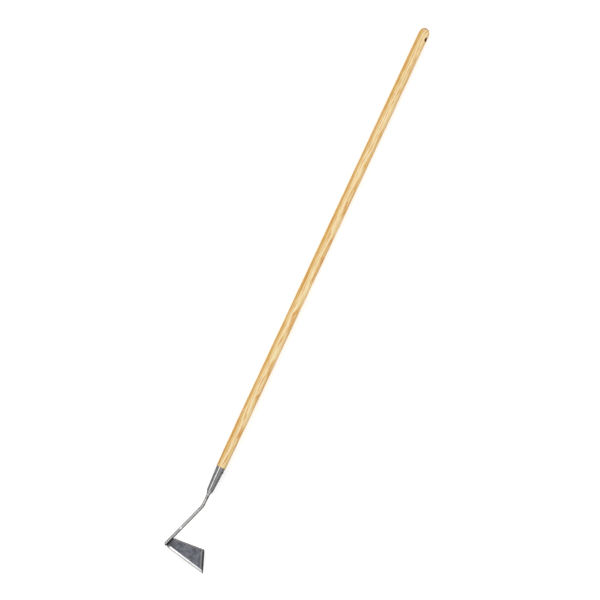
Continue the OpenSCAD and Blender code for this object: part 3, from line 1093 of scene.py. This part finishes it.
@dataclass
class Neck:
    """The cranked neck: one bent round bar and the weld that joins it to the socket's nose.

    Attributes:
        layout: sizes shared with the other pieces.
        bend_r: radius of the bend at the bar's axis.
        chamfer: chamfer of the end in the socket.
        tip_slant, tip_corner, tip_ease: slant of the cut tip, its ground corner, and its rounding.
        tab_len, tip_tint_and_shade_len: lengths from the tip that the tab takes and that the tip's
            weld tint and
        painted shade take.
        polished_len: length of the arm that is polished, from the tip.
        tab_len, tip_tint_and_shade_len: lengths from the tip that the tab takes and that heat has
            stained.
        weld_len, weld_ripples: length of the weld at the nose, and its number of ripples.
        columns: points round the bar.
    """

    layout: HoeLayout
    bend_r: float = 50.0
    chamfer: float = 1.2
    tip_slant: float = 17.0
    tip_corner: float = 2.2
    tip_ease: float = 0.9
    tip_run: float = 9.0
    polished_len: float = 67.0
    tab_len: float = 34.0
    tip_tint_and_shade_len: float = 6.0
    weld_len: float = 3.5
    weld_ripples: float = 5.0
    columns: int = 64

    def build(self, tool: Placing) -> bpy.types.Object:
        """Builds the bar as a circle carried along a straight, an arc and a straight.

        The place at a distance s along the bar is a point of the hoe's own XY plane, and the ring
        there has the plane's normal and the bar's own side as its two directions. Towards the tip
        the rings lean over until they follow the slanted cut, then they turn over its eased rim and
        close in on the axis.

        Args:
            tool: the hoe's own axes.

        Returns:
            The piece.
        """
        layout, ease, rod_r = self.layout, self.tip_ease, self.layout.rod_r
        cut = self.bend_r * math.tan(math.radians(layout.arm_turn / 2))
        start = -(layout.socket_end - layout.rod_inside)
        lead = layout.rod_lead - cut + start
        arc = self.bend_r * math.radians(layout.arm_turn)
        total = lead + arc + layout.arm_len - cut
        run_from = total - self.tip_run
        angle = turns(self.columns)[None]
        body = steps((0, lead, 20), (lead, lead + arc, 14), (lead + arc, run_from, 44))[:, None]
        share = steps((0, 1, 14))[1:, None]
        over = np.linspace(0, math.pi / 2, 6)[1:, None]
        closing = steps((rod_r - ease, 0, 8))[1:, None]
        full = self._limit(rod_r * np.cos(angle), total)
        rim_r = rod_r - ease + ease * np.cos(over)
        s = np.concatenate([body + 0 * angle, run_from + (full - ease - run_from) * share,
                            self._limit(rim_r * np.cos(angle), total) - ease * (1 - np.sin(over)),
                            self._limit(closing * np.cos(angle), total)])
        radius = np.concatenate([rod_r - self._end_ease(body), rod_r + 0 * share, rim_r, closing])
        side = radius * np.cos(angle)
        turn = np.clip((s - lead) / arc, 0, 1) * math.radians(layout.arm_turn)
        beyond = np.clip(s - lead - arc, 0, None)
        x = start - np.clip(s, 0, lead) - self.bend_r * np.sin(turn) - beyond * np.cos(turn)
        y = self.bend_r * (1 - np.cos(turn)) + beyond * np.sin(turn)
        points = np.stack([x + np.sin(turn) * side, y + np.cos(turn) * side,
                           radius * np.sin(angle)], axis=-1)
        back = np.broadcast_to(np.array([start, 0.0, 0.0]), points[:1].shape)
        s = np.concatenate([s[:1], s])
        polished_from = total - self.polished_len
        inward = np.concatenate([0 * angle, smooth(-1.6 * side / rod_r + 0.2)])
        outward = np.concatenate([0 * angle, smooth(side / rod_r + 0.8)])
        # The welds have tinted the bar behind the nose, at its tip and beside the tab, and painted
        # shade deepens that tint towards the blade's side.
        tint_and_shade_beside_tab = (smooth((s - (total - self.tab_len)) / 4.0)
                      * smooth((total - self.tip_tint_and_shade_len - s) / 2.0))
        tip = smooth(s - (total - self.tip_tint_and_shade_len))
        behind_nose = 0.95 * np.exp(-((s - layout.rod_inside - 9.0) / 6.0) ** 2)
        tint_and_shade = behind_nose * (1 - 0.8 * outward) + (tip + 0.9 * tint_and_shade_beside_tab) * inward
        # A painted highlight glints on the bar's side away from the blade, where the polish starts.
        painted_glint = np.clip(1.6 * np.exp(-((s - polished_from) / 2.5) ** 2), 0, 1) * outward
        grid = Grid(tool.points(np.concatenate([back, points])),
                    marks={Mark.POLISHED.value: smooth((s - polished_from) / 1.5),
                           Mark.HEAT_TINT_AND_SHADE.value: tint_and_shade, Mark.GROUND_AND_HIGHLIGHT.value: painted_glint})
        piece = make_piece("neck_bar", [grid], sharp=50)
        hand_over(piece, "neck_rod")
        return piece

    def _limit(self, side: np.ndarray, total: float) -> np.ndarray:
        """Works out how far the bar reaches at a sideways place.

        The slanted cut falls by the tangent of its slant with every millimetre away from the blade,
        and the ground-off corner falls by one more. The lower of the two counts, and the corner
        between them is rounded: minus the logarithm of the sum of both falling exponentials.

        Args:
            side: sideways places, positive away from the blade.
            total: length of the bar's axis.

        Returns:
            Distances along the bar.
        """
        slope = math.tan(math.radians(self.tip_slant))
        rod_r = self.layout.rod_r
        cut = total - side * slope
        corner = total - rod_r * slope - self.tip_corner + (rod_r - side) * (1 + slope)
        return total - np.logaddexp(2.5 * (total - cut), 2.5 * (total - corner)) / 2.5

    def _end_ease(self, s: np.ndarray) -> np.ndarray:
        """Returns how much thinner the bar is near its inner end, as its rounded chamfer."""
        near = np.clip(1 - s / (1.6 * self.chamfer), 0, 1)
        return self.chamfer * near ** 1.6

    def weld(self, tool: Placing) -> bpy.types.Object:
        """Builds the weld at the nose: a quarter of an oval turned about the bar, finely rippled.

        The radius falls from the nose's to the bar's as the cosine of the share of a quarter turn,
        and the ripples are a sine of the distance along the bar, bent a little by the angle.

        Args:
            tool: the hoe's own axes.

        Returns:
            The piece.
        """
        layout = self.layout
        nose_r = layout.nose_d / 2 - 0.3
        share = steps((0, 1, 36))
        angle = turns(self.columns)
        length = self.weld_len * (1 + 0.06 * np.sin(2 * angle + 0.7) + 0.04 * np.sin(5 * angle))
        down = np.sin(share * math.pi / 2)[:, None] * length
        fall = np.cos(share * math.pi / 2)[:, None]
        ripple = 0.10 * np.sin(self.weld_ripples * 2 * math.pi * down / self.weld_len
                               + 0.6 * np.sin(3 * angle)) * fall
        radius = layout.rod_r - 0.05 + (nose_r - layout.rod_r) * fall + ripple
        x = -layout.socket_end + 0.3 - down
        outside = np.stack([x, radius * np.cos(angle), radius * np.sin(angle)], axis=-1)
        inner = (layout.rod_r - 0.4) * np.stack([np.cos(angle), np.sin(angle)], axis=-1)
        inside = [np.column_stack([np.full(self.columns, x[row].mean()), inner])[None]
                  for row in (-1, 0)]
        ring = np.concatenate([outside, *inside, outside[:1]])
        piece = make_piece("neck_weld_ring", [Grid(tool.points(ring))], sharp=60)
        hand_over(piece, "neck_weld")
        return piece


@dataclass
class Blade:
    """The blade: sheet steel folded up into a tab along the bar, and ground on three edges.

    Attributes:
        layout: sizes shared with the other pieces.
        thick: thickness of the sheet.
        tilt: slant of the blade.
        rear_skew: turn of the rear edge from square on the handle.
        rear_len: length of the rear edge.
        neck_width, far_width: widths at the fold and at the far edge.
        far_flare: how much farther out the far edge's front corner lies than its rear corner.
        bevel_w, edge_land: width of the bevels, and thickness left at the edge.
        tab_bend_r: inner radius of the fold.
        rod_over: height of the bar's axis over the fold's sharp corner.
        tab_rise: height of the tab's top edge over the bar's axis.
        wobble: unevenness of the rolled face.
    """

    layout: HoeLayout
    thick: float = 2.5
    tilt: float = 45.0
    rear_skew: float = 4.5
    rear_len: float = 98.0
    neck_width: float = 32.5
    far_width: float = 75.5
    far_flare: float = 20.5
    bevel_w: float = 6.5
    edge_land: float = 0.5
    tab_bend_r: float = 3.5
    rod_over: float = 5.0
    tab_rise: float = 0.8
    wobble: float = 0.05

    @property
    def swing(self) -> float:
        """Turn from the bar to square on the rear edge."""
        return self.layout.arm_turn + self.rear_skew

    @property
    def fold_turn(self) -> float:
        """Turn from square on the rear edge to the fold."""
        return math.degrees(math.atan(cos(self.tilt) * math.tan(math.radians(self.swing))))

    @property
    def tab_lean(self) -> float:
        """Lean of the tab over the blade."""
        return math.degrees(math.asin(sin(self.tilt) * sin(self.swing)))

    @property
    def fold_cut(self) -> float:
        """Distance from the sharp corner of the fold to the end of its bend."""
        return (self.tab_bend_r + self.thick) / math.tan(math.radians((90 - self.tab_lean) / 2))

    def corners(self) -> dict[str, np.ndarray]:
        """Returns the corners of the blade in its own plane: rear, neck, far rear and far front."""
        fall = math.tan(math.radians(self.fold_turn))
        return {"rear": np.array([0.0, 0.0]),
                "neck": np.array([self.neck_width, -self.neck_width * fall]),
                "far_rear": np.array([0.0, self.rear_len]),
                "far_front": np.array([self.far_width, self.rear_len + self.far_flare])}

    def placing(self, arm: Placing) -> Placing:
        """Finds the blade's own axes: X forward in the blade, Y out along the rear edge, Z up.

        Args:
            arm: the arm's own axes.

        Returns:
            The placing, whose origin is the rear corner.
        """
        layout = self.layout
        turned = arm.turned_z(self.swing).turned_y(-self.tilt)
        neck = np.append(self.corners()["neck"], 0.0)
        meets = arm.points([layout.arm_len + layout.corner_past, layout.rod_r, -self.rod_over])
        return Placing(meets - (neck * MM) @ turned.axes, turned.axes)

    def build(self, arm: Placing) -> bpy.types.Object:
        """Builds the blade from its top and its underside.

        Both sides are grids with the same rows and columns. The rows run down the tab, round the
        fold and out to the far edge, and the columns from the rear edge to the front edge. One
        wrapped grid holds the top, the front, the underside and the rear, and two strips close the
        tab's top edge and the far edge.

        Args:
            arm: the arm's own axes.

        Returns:
            The piece.
        """
        own = self.placing(arm)
        top, under, ground, edge, burnished = self._flat_rows()
        share = self._shares(top[0])
        fold_top, fold_under = self._fold_rows(own, arm, share)
        tab_top, tab_under = self._tab_rows(own, arm, fold_top[0], fold_under[0])
        upper = own.points(np.concatenate([tab_top[:-1], fold_top[:-1], top]))
        lower = own.points(np.concatenate([tab_under[:-1], fold_under[:-1], under]))
        extra = len(upper) - len(top)
        # The front of the fold carries a painted highlight; the rest of the fold and the tab carry
        # weld tint, deepened towards the bar by painted shade.
        painted_fold_highlight = smooth((np.arange(extra) / extra - 0.5) * 4)[:, None] * smooth((share - 0.7) * 6)
        stain_and_shade = 0.75 * np.linspace(1, 0, extra)[:, None] ** 0.7 * smooth(4 - 4 * share)
        plain = np.zeros_like(painted_fold_highlight)
        none = np.zeros_like(ground)
        marks = {}
        for mark, bent, flat, beneath in (
                (Mark.GROUND_AND_HIGHLIGHT, painted_fold_highlight, ground, 0), (Mark.EDGE, plain, edge, 1),
                (Mark.HIGHLIGHT_LINE, plain, burnished, 0), (Mark.HEAT_TINT_AND_SHADE, stain_and_shade, none, 1)):
            above = np.concatenate([bent, flat])
            marks[mark.value] = np.concatenate([above, above[:, ::-1] * beneath], axis=1)
        sheet = Grid(np.concatenate([upper, lower[:, ::-1]], axis=1), marks=marks)
        ends = [Grid(np.stack([upper[row], lower[row]]), wrap=False, marks={Mark.EDGE.value: tint})
                for row, tint in ((0, 0.2), (-1, 0.6))]
        piece = make_piece("ground_blade", [sheet, *ends], sharp=20)
        soften(piece, width=0.14, angle=50)
        hand_over(piece, "blade")
        return piece

    def _flat_rows(self) -> tuple[np.ndarray, ...]:
        """Works out the flat part with its bevels.

        Three lines across (the fold's end, the far bevel's inner line, the far edge) and four lines
        along (rear edge, rear bevel, front bevel, front edge) cross in twelve points, and each of
        the six fields between them is filled evenly in both directions. The top is the full
        thickness, less what the nearest bevel takes: the share of the bevel's width that is left to
        the edge, times the depth that is ground away. The bevels beside the fold run out smoothly.

        Returns:
            Top points, underside points, how much each point is ground, how near it is to an edge,
            and how much of a painted highlight line inside the far bevel it carries.
        """
        c = self.corners()
        rear = Line.through(c["far_rear"], c["rear"])
        front = Line.through(c["neck"], c["far_front"])
        far = Line.through(c["far_front"], c["far_rear"])
        fold = Line.through(c["rear"], c["neck"])
        across = [fold.inside(self.fold_cut), far.inside(self.bevel_w), far]
        along = [rear, rear.inside(self.bevel_w), front.inside(self.bevel_w), front]
        lattice = np.array([[row.crossing(column) for column in along] for row in across])
        down = [steps((0, 1, 40)), steps((0, 1, 8))]
        over = [steps((0, 1, 8)), steps((0, 1, 30)), steps((0, 1, 8))]
        bands = []
        for i, v in enumerate(down):
            fields = []
            for j, u in enumerate(over):
                u_, v_ = u[None, :, None], v[:, None, None]
                near, far_side = (row[j] * (1 - u_) + row[j + 1] * u_ for row in lattice[i:i + 2])
                filled = near * (1 - v_) + far_side * v_
                fields.append(filled if j == 0 else filled[:, 1:])
            band = np.concatenate(fields, axis=1)
            bands.append(band if i == 0 else band[1:])
        flat = np.concatenate(bands)
        fade = smooth((fold.distance(flat) - self.fold_cut - 0.2) / 3.0)
        beside = np.minimum(rear.distance(flat), front.distance(flat)) / self.bevel_w
        beyond = far.distance(flat) / self.bevel_w
        left = np.minimum(1 - (1 - np.clip(beside, 0, 1)) * fade, np.clip(beyond, 0, 1))
        wave = self.wobble * (np.sin(flat[..., 0] / 9.0 + 1.3) * np.sin(flat[..., 1] / 13.0)
                              + 0.5 * np.sin(flat[..., 0] / 5.0 + flat[..., 1] / 7.0))
        height = self.edge_land + (self.thick - self.edge_land) * left
        top = np.concatenate([flat, (height + wave * smooth(left))[..., None]], axis=-1)
        under = np.concatenate([flat, np.zeros_like(height)[..., None]], axis=-1)
        ground = 1 - smooth((left - 0.9) / 0.1)
        edge = 1 - smooth(left / 0.42)
        # A painted highlight line runs just inside the far bevel.
        burnished = np.exp(-((beyond - 1.22) / 0.2) ** 2) * smooth(beside - 0.6)
        return top, under, ground, edge, burnished

    def _shares(self, row: np.ndarray) -> np.ndarray:
        """Returns where each column stands between the first and the last, from 0 to 1."""
        reach = np.linalg.norm(row - row[0], axis=-1)
        return reach / reach[-1]

    def _fold_point(self, along: np.ndarray, out: np.ndarray, up: np.ndarray) -> np.ndarray:
        """Turns distances along the fold, out from it and up into points of the blade.

        Args:
            along: distance along the fold.
            out: distance out from it in the blade's plane.
            up: height over the blade's underside.

        Returns:
            The points.
        """
        x = along * cos(self.fold_turn) + out * sin(self.fold_turn)
        y = -along * sin(self.fold_turn) + out * cos(self.fold_turn)
        return np.stack(np.broadcast_arrays(x, y, up), axis=-1)

    def _fold_rows(self, own: Placing, arm: Placing,
                   share: np.ndarray) -> tuple[np.ndarray, np.ndarray]:
        """Works out the fold, from the tab's side to the blade's.

        A row at the turn f lies on the circle about the fold's middle: out less radius times sine
        of f, up less radius times cosine of f. Its ends are where the rear edge's plane and the
        front edge's plane cut it, and on its way to the tab the rear end moves over to the plane
        that is square to the bar.

        Args:
            own: the blade's own axes.
            arm: the arm's own axes.
            share: where each column stands between rear and front.

        Returns:
            Top points and underside points.
        """
        full = 90 + self.tab_lean
        turn = np.radians(steps((full, 0, 14)))[:, None]
        weight = smooth(np.linspace(1, 0, 15))[:, None]
        c = self.corners()
        front = Line.through(c["neck"], c["far_front"])
        square = arm.axes[0] @ own.axes.T
        sides = []
        for radius in (self.tab_bend_r, self.tab_bend_r + self.thick):
            out = self.fold_cut - radius * np.sin(turn)
            up = self.tab_bend_r + self.thick - radius * np.cos(turn)
            rear = -out * math.tan(math.radians(self.fold_turn))
            base = self._fold_point(np.zeros_like(out), out, up)
            unit_along = self._fold_point(np.array(1.0), np.array(0.0), np.array(0.0))
            trimmed = -(base @ square) / (unit_along @ square)
            rear = rear + weight * np.maximum(trimmed - rear, 0)
            ahead = (front.offset - base[..., :2] @ front.normal) / (unit_along[:2] @ front.normal)
            along = rear + (ahead - rear) * share[None]
            sides.append(self._fold_point(along, out, up))
        return sides[0], sides[1]

    def _tab_rows(self, own: Placing, arm: Placing, top_row: np.ndarray,
                  under_row: np.ndarray) -> tuple[np.ndarray, np.ndarray]:
        """Works out the tab above the fold.

        Each column runs straight from the fold's end up to the tab's top edge, which is level and
        stands a little over the bar's axis. The top edge runs from the plane square to the bar at
        the rear corner to the plane of the front edge.

        Args:
            own: the blade's own axes.
            arm: the arm's own axes.
            top_row: the fold's first row on the blade's side.
            under_row: the fold's first row on the bar's side.

        Returns:
            Points on the blade's side and on the bar's side, from the top edge down to the fold.
        """
        c = self.corners()
        front = Line.through(c["neck"], c["far_front"])
        normal = np.append(front.normal, 0.0) @ own.axes @ arm.axes.T
        passes = self.local(arm, own.points(np.append(front.normal * front.offset, 0.0)))
        rear_x = self.local(arm, own.origin)[0]
        rise = steps((1, 0, 16))[:, None, None]
        sides = []
        for row in (top_row, under_row):
            in_arm = self.local(arm, own.points(row))
            side_y = in_arm[0, 1]
            front_x = passes[0] - ((side_y - passes[1]) * normal[1]
                                   + (self.tab_rise - passes[2]) * normal[2]) / normal[0]
            ends = np.array([[x, side_y, self.tab_rise] for x in (rear_x, front_x)])
            edge = ends[0] + (ends[1] - ends[0]) * self._shares(in_arm)[:, None]
            sides.append(self.local(own, arm.points(in_arm + (edge - in_arm) * rise)))
        return sides[0], sides[1]

    @staticmethod
    def local(placing: Placing, points: np.ndarray) -> np.ndarray:
        """Turns points of the frame into a placing's own millimetres."""
        return (points - placing.origin) @ placing.axes.T / MM


@dataclass
class TabWelds:
    """The two rows of weld drops in the grooves between the bar and the blade's tab.

    Attributes:
        layout: sizes shared with the other pieces.
        blade: the blade that they hold.
        top_r, under_r: radius of the drops above and below.
        run_on: how far the upper row starts before the tab.
        stop_short: how far both rows keep from the tab's ends.
        out, over: place of the upper row from the bar's side and the tab's edge.
        sunk: how deep the lower row is sunk, as a share of its drops' radius.
        uneven: how much the drops differ in size.
        seed: start of the random row that sets their sizes.
        columns: points round a row.
    """

    layout: HoeLayout
    blade: Blade
    top_r: float = 2.9
    under_r: float = 2.1
    run_on: float = 5.0
    stop_short: float = 0.3
    out: float = 0.2
    over: float = 0.6
    sunk: float = 0.4
    uneven: float = 0.22
    seed: int = 7
    columns: int = 44

    def build(self, arm: Placing) -> list[bpy.types.Object]:
        """Builds both welds.

        Args:
            arm: the arm's own axes.

        Returns:
            The two pieces.
        """
        layout, blade, rod_r = self.layout, self.blade, self.layout.rod_r
        rear = Blade.local(arm, blade.placing(arm).origin)[0]
        leans_back = (blade.rod_over + blade.tab_rise) * math.tan(math.radians(blade.tilt))
        front = layout.arm_len + layout.corner_past - leans_back
        top_y = rod_r + self.out
        top_z = blade.tab_rise + self.over
        depth = self.sunk * self.under_r
        under_y = rod_r - depth
        under_z = -math.sqrt((rod_r + depth) ** 2 - under_y ** 2)
        made = []
        for name, node, start, drop_r, y, z in (
                ("tab_weld_above", "tab_weld_top", rear - self.run_on, self.top_r, top_y, top_z),
                ("tab_weld_below", "tab_weld_under", rear + self.stop_short, self.under_r,
                 under_y, under_z)):
            points = self._bead(start, front - self.stop_short, drop_r, y, z)
            piece = make_piece(name, [Grid(arm.points(points))], sharp=70)
            hand_over(piece, node)
            made.append(piece)
        return made

    def _bead(self, start: float, end: float, drop_r: float, y: float, z: float) -> np.ndarray:
        """Works out one bead.

        The radius at a point is the highest of the drops' circles there: the root of the drop's
        radius squared less the distance to its middle squared. The drops lean along the bead away
        from its crown, so that their edges show as crescents, and their sizes differ.

        Args:
            start: where the bead starts along the arm.
            end: where it ends.
            drop_r: radius of a drop.
            y: sideways place of the bead's middle.
            z: height of the bead's middle.

        Returns:
            Rings of points in the arm's own axes.
        """
        rng = np.random.default_rng(self.seed)
        drops = round((end - start) / (2 * drop_r))
        middles = np.linspace(start + drop_r, end - drop_r, drops)
        size = drop_r * (1 - self.uneven * rng.random(len(middles)))
        x = start + (end - start) * (1 - np.cos(np.linspace(0, math.pi, 150))) / 2
        angle = turns(self.columns)
        lean = 0.35 * drop_r * (1 - np.cos(angle))
        gap = x[:, None, None] + lean[None, :, None] * 0.5 - middles - 0.25 * drop_r
        reach = np.sqrt(np.maximum(size ** 2 - gap ** 2, 0.02)).max(axis=2)
        close = np.sqrt(np.clip(np.minimum(x - start, end - x) / 0.6, 0, 1))[:, None]
        radius = reach * close
        radius = radius * (1 + 0.05 * np.sin(3 * angle + x[:, None] * 1.9)
                           + 0.03 * np.sin(7 * angle - x[:, None] * 3.1))
        return np.stack([np.repeat(x[:, None], self.columns, axis=1), y + radius * np.cos(angle),
                         z + radius * np.sin(angle)], axis=-1)


# Studio

@dataclass(frozen=True)
class SoftBox:
    """A soft lamp.

    Attributes:
        name: its name.
        place: where it hangs.
        aim: the point that it faces.
        sides: its width and height.
        watts: its power.
        shows: whether shiny surfaces show it.
    """

    name: str
    place: tuple[float, float, float]
    aim: tuple[float, float, float]
    sides: tuple[float, float]
    watts: float
    shows: bool = True


@dataclass(frozen=True)
class Card:
    """A flat grey card that only shiny surfaces show.

    Attributes:
        name: its name.
        corner: one of its corners.
        side: the way from there along one side.
        other_side: the way from there along the other side.
        level: how bright it looks, from black at 0 to white at 1.
    """

    name: str
    corner: tuple[float, float, float]
    side: tuple[float, float, float]
    other_side: tuple[float, float, float]
    level: float


@dataclass
class Studio:
    """The pale floor, the soft lamps, the room and the camera, in metres.

    Attributes:
        floor_half, floor_colour: half the floor's side, and its paint.
        floor_glow: what is added to the floor where it is seen, so that it looks white.
        room_level: how bright the room lights the hoe.
        card_r, card_middle, card_height: radius, place and height of the ring of card.
        ring_level: how bright the ring of card looks.
        cards, boxes: the flat cards and the lamps.
        lens, camera_height: focal length in millimetres, and height over the handle.
        from_top, to_side: place of the camera from the handle's top, in millimetres.
        roll: lean of the handle in the picture, in degrees.
    """

    floor_half: float = 14.0
    floor_colour: str = "#F4F4F3"
    floor_glow: float = 0.32
    room_level: float = 0.80
    card_r: float = 2.4
    card_middle: float = -0.7
    card_height: float = 1.6
    ring_level: float = 0.28
    cards: tuple[Card, ...] = (
        Card("top_card", (-2.6, -0.45, 3.0), (2.3, 0, 0), (0, 1.45, 0), 0.44),
        Card("side_card", (-2.6, -2.3, 3.0), (2.3, 0, 0), (0, 1.85, 0), 0.62),
        Card("back_card", (-2.6, -2.3, 1.6), (2.8, 0, 0), (0, 0, 1.4), 0.62),
        Card("blade_card", (-0.50, -0.30, 0.0), (0.05, 0.25, 0), (0, 0, 0.055), 0.05),
        Card("lying_card", (-0.98, -0.30, 0.0010), (0.50, 0, 0), (0, 0.55, 0), 0.32),
        Card("dark_lying_card", (-0.789, -0.046, 0.0015), (0.30, -0.12, 0), (-0.06, -0.12, 0),
             0.05),
    )
    boxes: tuple[SoftBox, ...] = (
        SoftBox("key_box", (0.0, 1.12, 2.0), (0.0, 0.0, 0.0), (3.4, 0.65), 13.0),
        SoftBox("top_box", (1.3, 0.75, 2.2), (-0.84, 0.0, 0.04), (1.0, 0.8), 2.4, shows=False),
        SoftBox("side_box", (0.35, -1.4, 2.0), (0.35, 0.0, 0.0), (2.3, 0.5), 7.5),
    )
    lens: float = 66.55
    camera_height: float = 3.2
    from_top: float = 864.1
    to_side: float = -1.8
    roll: float = 25.09

    def build(self, tool: Placing, layout: HoeLayout) -> None:
        """Builds the floor, the room, the lamps and the camera.

        Args:
            tool: the hoe's own axes.
            layout: the hoe's sizes.
        """
        self._floor()
        self._flags()
        self._world()
        for box in self.boxes:
            self._lamp(box)
        self._camera(tool, layout)
        bpy.context.scene.view_settings.view_transform = "Standard"

    def _floor(self) -> None:
        """Lays the floor: matt and near white, and lifted to white where it is seen."""
        mesh = bpy.data.meshes.new("studio_floor")
        corners = [(x * self.floor_half, y * self.floor_half, 0)
                   for x, y in ((-1, -1), (1, -1), (1, 1), (-1, 1))]
        mesh.from_pydata(corners, [], [(0, 1, 2, 3)])
        made, tree, shader = new_material("studio_paper")
        shader.inputs["Base Color"].default_value = paint(self.floor_colour)
        shader.inputs["Roughness"].default_value = 0.9
        shader.inputs["Specular IOR Level"].default_value = 0.1
        shader.inputs["Emission Color"].default_value = grey(1.0)
        glow = add(tree, "Math", {0: self._seen(tree), 1: self.floor_glow},
                   operation="MULTIPLY").outputs[0]
        tree.links.new(glow, shader.inputs["Emission Strength"])
        mesh.materials.append(made)
        put("studio_floor", mesh)

    @staticmethod
    def _seen(tree: bpy.types.NodeTree) -> bpy.types.NodeSocket:
        """Tells rays that are seen, straight or in a shiny or clear surface, from the others.

        Args:
            tree: the tree that the nodes go in.

        Returns:
            1 for a ray that is seen, and else 0.
        """
        rays = add(tree, "LightPath").outputs
        shiny = add(tree, "Math", {0: rays["Is Camera Ray"], 1: rays["Is Glossy Ray"]},
                    operation="MAXIMUM").outputs[0]
        return add(tree, "Math", {0: shiny, 1: rays["Is Transmission Ray"]},
                   operation="MAXIMUM").outputs[0]

    def _flags(self) -> None:
        """Stands grey cards round the set and over it, which only shiny surfaces show."""
        rise = np.array([0.0, 1.0])[:, None]
        angle = turns(48)[None]
        ring = np.stack(np.broadcast_arrays(self.card_middle + self.card_r * np.cos(angle),
                                            self.card_r * np.sin(angle),
                                            0.002 + self.card_height * rise), axis=-1)
        self._card("ring_card", Grid(ring), self.ring_level)
        for card in self.cards:
            corner, side, other = map(np.array, (card.corner, card.side, card.other_side))
            corners = np.array([[corner, corner + side], [corner + other, corner + side + other]])
            self._card(card.name, Grid(corners, wrap=False), card.level)

    @staticmethod
    def _card(name: str, grid: Grid, level: float) -> None:
        """Hangs one grey card.

        Args:
            name: its name.
            grid: its surface.
            level: how bright it looks.
        """
        card = make_piece(name, [grid])
        made, tree, shader = new_material(name)
        tree.nodes.remove(shader)
        glow = add(tree, "Emission", {"Color": grey(level), "Strength": 1.0}).outputs[0]
        tree.links.new(glow, tree.nodes["Material Output"].inputs["Surface"])
        card.data.materials.append(made)
        card.visible_camera = False
        card.visible_diffuse = False
        card.visible_shadow = False
        card.visible_transmission = False

    def _world(self) -> None:
        """Lights the room evenly, and shows white behind the floor."""
        world = bpy.data.worlds.new("studio_room")
        bpy.context.scene.world = world
        world.use_nodes = True
        tree = world.node_tree
        back = tree.nodes["Background"]
        back.inputs["Color"].default_value = grey(1.0)
        level = add(tree, "MapRange", {"Value": self._seen(tree), "To Min": self.room_level,
                                       "To Max": 1.0}).outputs[0]
        tree.links.new(level, back.inputs["Strength"])

    @staticmethod
    def _lamp(box: SoftBox) -> None:
        """Hangs one soft box.

        Args:
            box: the lamp's sizes.
        """
        lamp = bpy.data.lights.new(box.name, "AREA")
        lamp.shape = "RECTANGLE"
        lamp.size, lamp.size_y = box.sides
        lamp.energy = box.watts
        hung = put(box.name, lamp)
        back = unit(np.array(box.place) - np.array(box.aim))
        side = unit(np.cross([0.0, 1.0, 0.0], back))
        up = np.cross(back, side)
        matrix = np.eye(4)
        matrix[:3] = np.column_stack([side, up, back, box.place])
        hung.matrix_world = Matrix(matrix)
        hung.visible_camera = False
        hung.visible_glossy = box.shows

    def _camera(self, tool: Placing, layout: HoeLayout) -> None:
        """Hangs the camera straight over the hoe, turned so that the handle leans as photographed.

        Args:
            tool: the hoe's own axes.
            layout: the hoe's sizes.
        """
        top = tool.points([layout.handle_len, 0, 0])
        place = top + np.array([-self.from_top * MM, self.to_side * MM, 0])
        up = np.array([cos(self.roll), sin(self.roll), 0.0])
        right = np.array([sin(self.roll), -cos(self.roll), 0.0])
        matrix = np.eye(4)
        place[2] = layout.handle_d / 2 * MM + self.camera_height
        matrix[:3] = np.column_stack([right, up, (0, 0, 1), place])
        camera = bpy.data.cameras.new("studio_camera")
        camera.lens = self.lens
        camera.sensor_width = 36.0
        hung = put("studio_camera", camera)
        hung.matrix_world = Matrix(matrix)
        bpy.context.scene.camera = hung


def main() -> None:
    """Builds and dresses each sub-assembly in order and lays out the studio."""
    logging.basicConfig(level=logging.INFO, format="%(name)s: %(message)s")
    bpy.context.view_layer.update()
    layout = HoeLayout()
    tool = layout.tool(frame["record"])
    arm = layout.arm(tool)

    # Oiled ash: cream and tan streaks along the handle under a soft sheen, with painted shade on
    # its sides and in its bore.
    ash = AshWood().material(tool.origin, layout.handle_d / 2)
    # Stainless sheet, rolled to a cone and polished round it: long bright bands with fine rings.
    socket_steel = Steel("polished_sheet_steel", colour="#B4B3B3", cloud="#A2A1A1",
                         rough=(0.12, 0.2), marks=(0.6, 9.0), relief=0.10).material()
    # A plain steel rivet, hammered and left as it is: dark and dull beside the polished sheet.
    rivet_steel = Steel("dull_rivet_steel", colour="#454341", cloud="#2E2C2B",
                        rough=(0.35, 0.5)).material()
    # Cold drawn round bar: smooth and pale, polished towards the tip, brown where welds heated it,
    # with painted shade towards the blade and a painted glint where the polish starts.
    bar_steel = Steel("drawn_bar_steel", colour="#C4C2C0", cloud="#B2B0AE", ground="#F6F6F6",
                      rough=(0.16, 0.24), cloud_size=20.0, tint="#2A211B").material()
    # Hardened sheet with its satin rolled skin: blue-grey and cloudy, bright where it is ground,
    # with painted highlights on the fold and inside the far bevel, and painted shade on the tab.
    blade_steel = Steel("satin_sheet_steel", colour="#C5C7D2", cloud="#888B96", ground="#DADADC",
                        rough=(0.26, 0.38), cloud_size=15.0, marks_way=70.0,
                        tint="#5A3F2C").material()
    # Weld metal under its scale: near black drops, with small bare places.
    weld_scale = WeldSteel("weld_scale").material()
    # Weld metal that was brushed clean: pale and a little uneven.
    brushed_weld = WeldSteel("brushed_weld", scale="#AEACA9", bare="#DAD9D7",
                             bare_from=0.5).material()

    neck = Neck(layout)
    blade = Blade(layout)
    dressed = [(Handle(layout).build(tool), ash), (Socket(layout).build(tool), socket_steel),
               (Rivet(layout).build(tool), rivet_steel), (neck.build(tool), bar_steel),
               (neck.weld(tool), brushed_weld), (blade.build(arm), blade_steel),
               *((weld, weld_scale) for weld in TabWelds(layout, blade).build(arm))]
    for piece, finish in dressed:
        piece.data.materials.append(finish)
        LOG.info("%s dressed in %s", piece.name, finish.name)

    Studio().build(tool, layout)


if __name__ == "__main__":
    main()
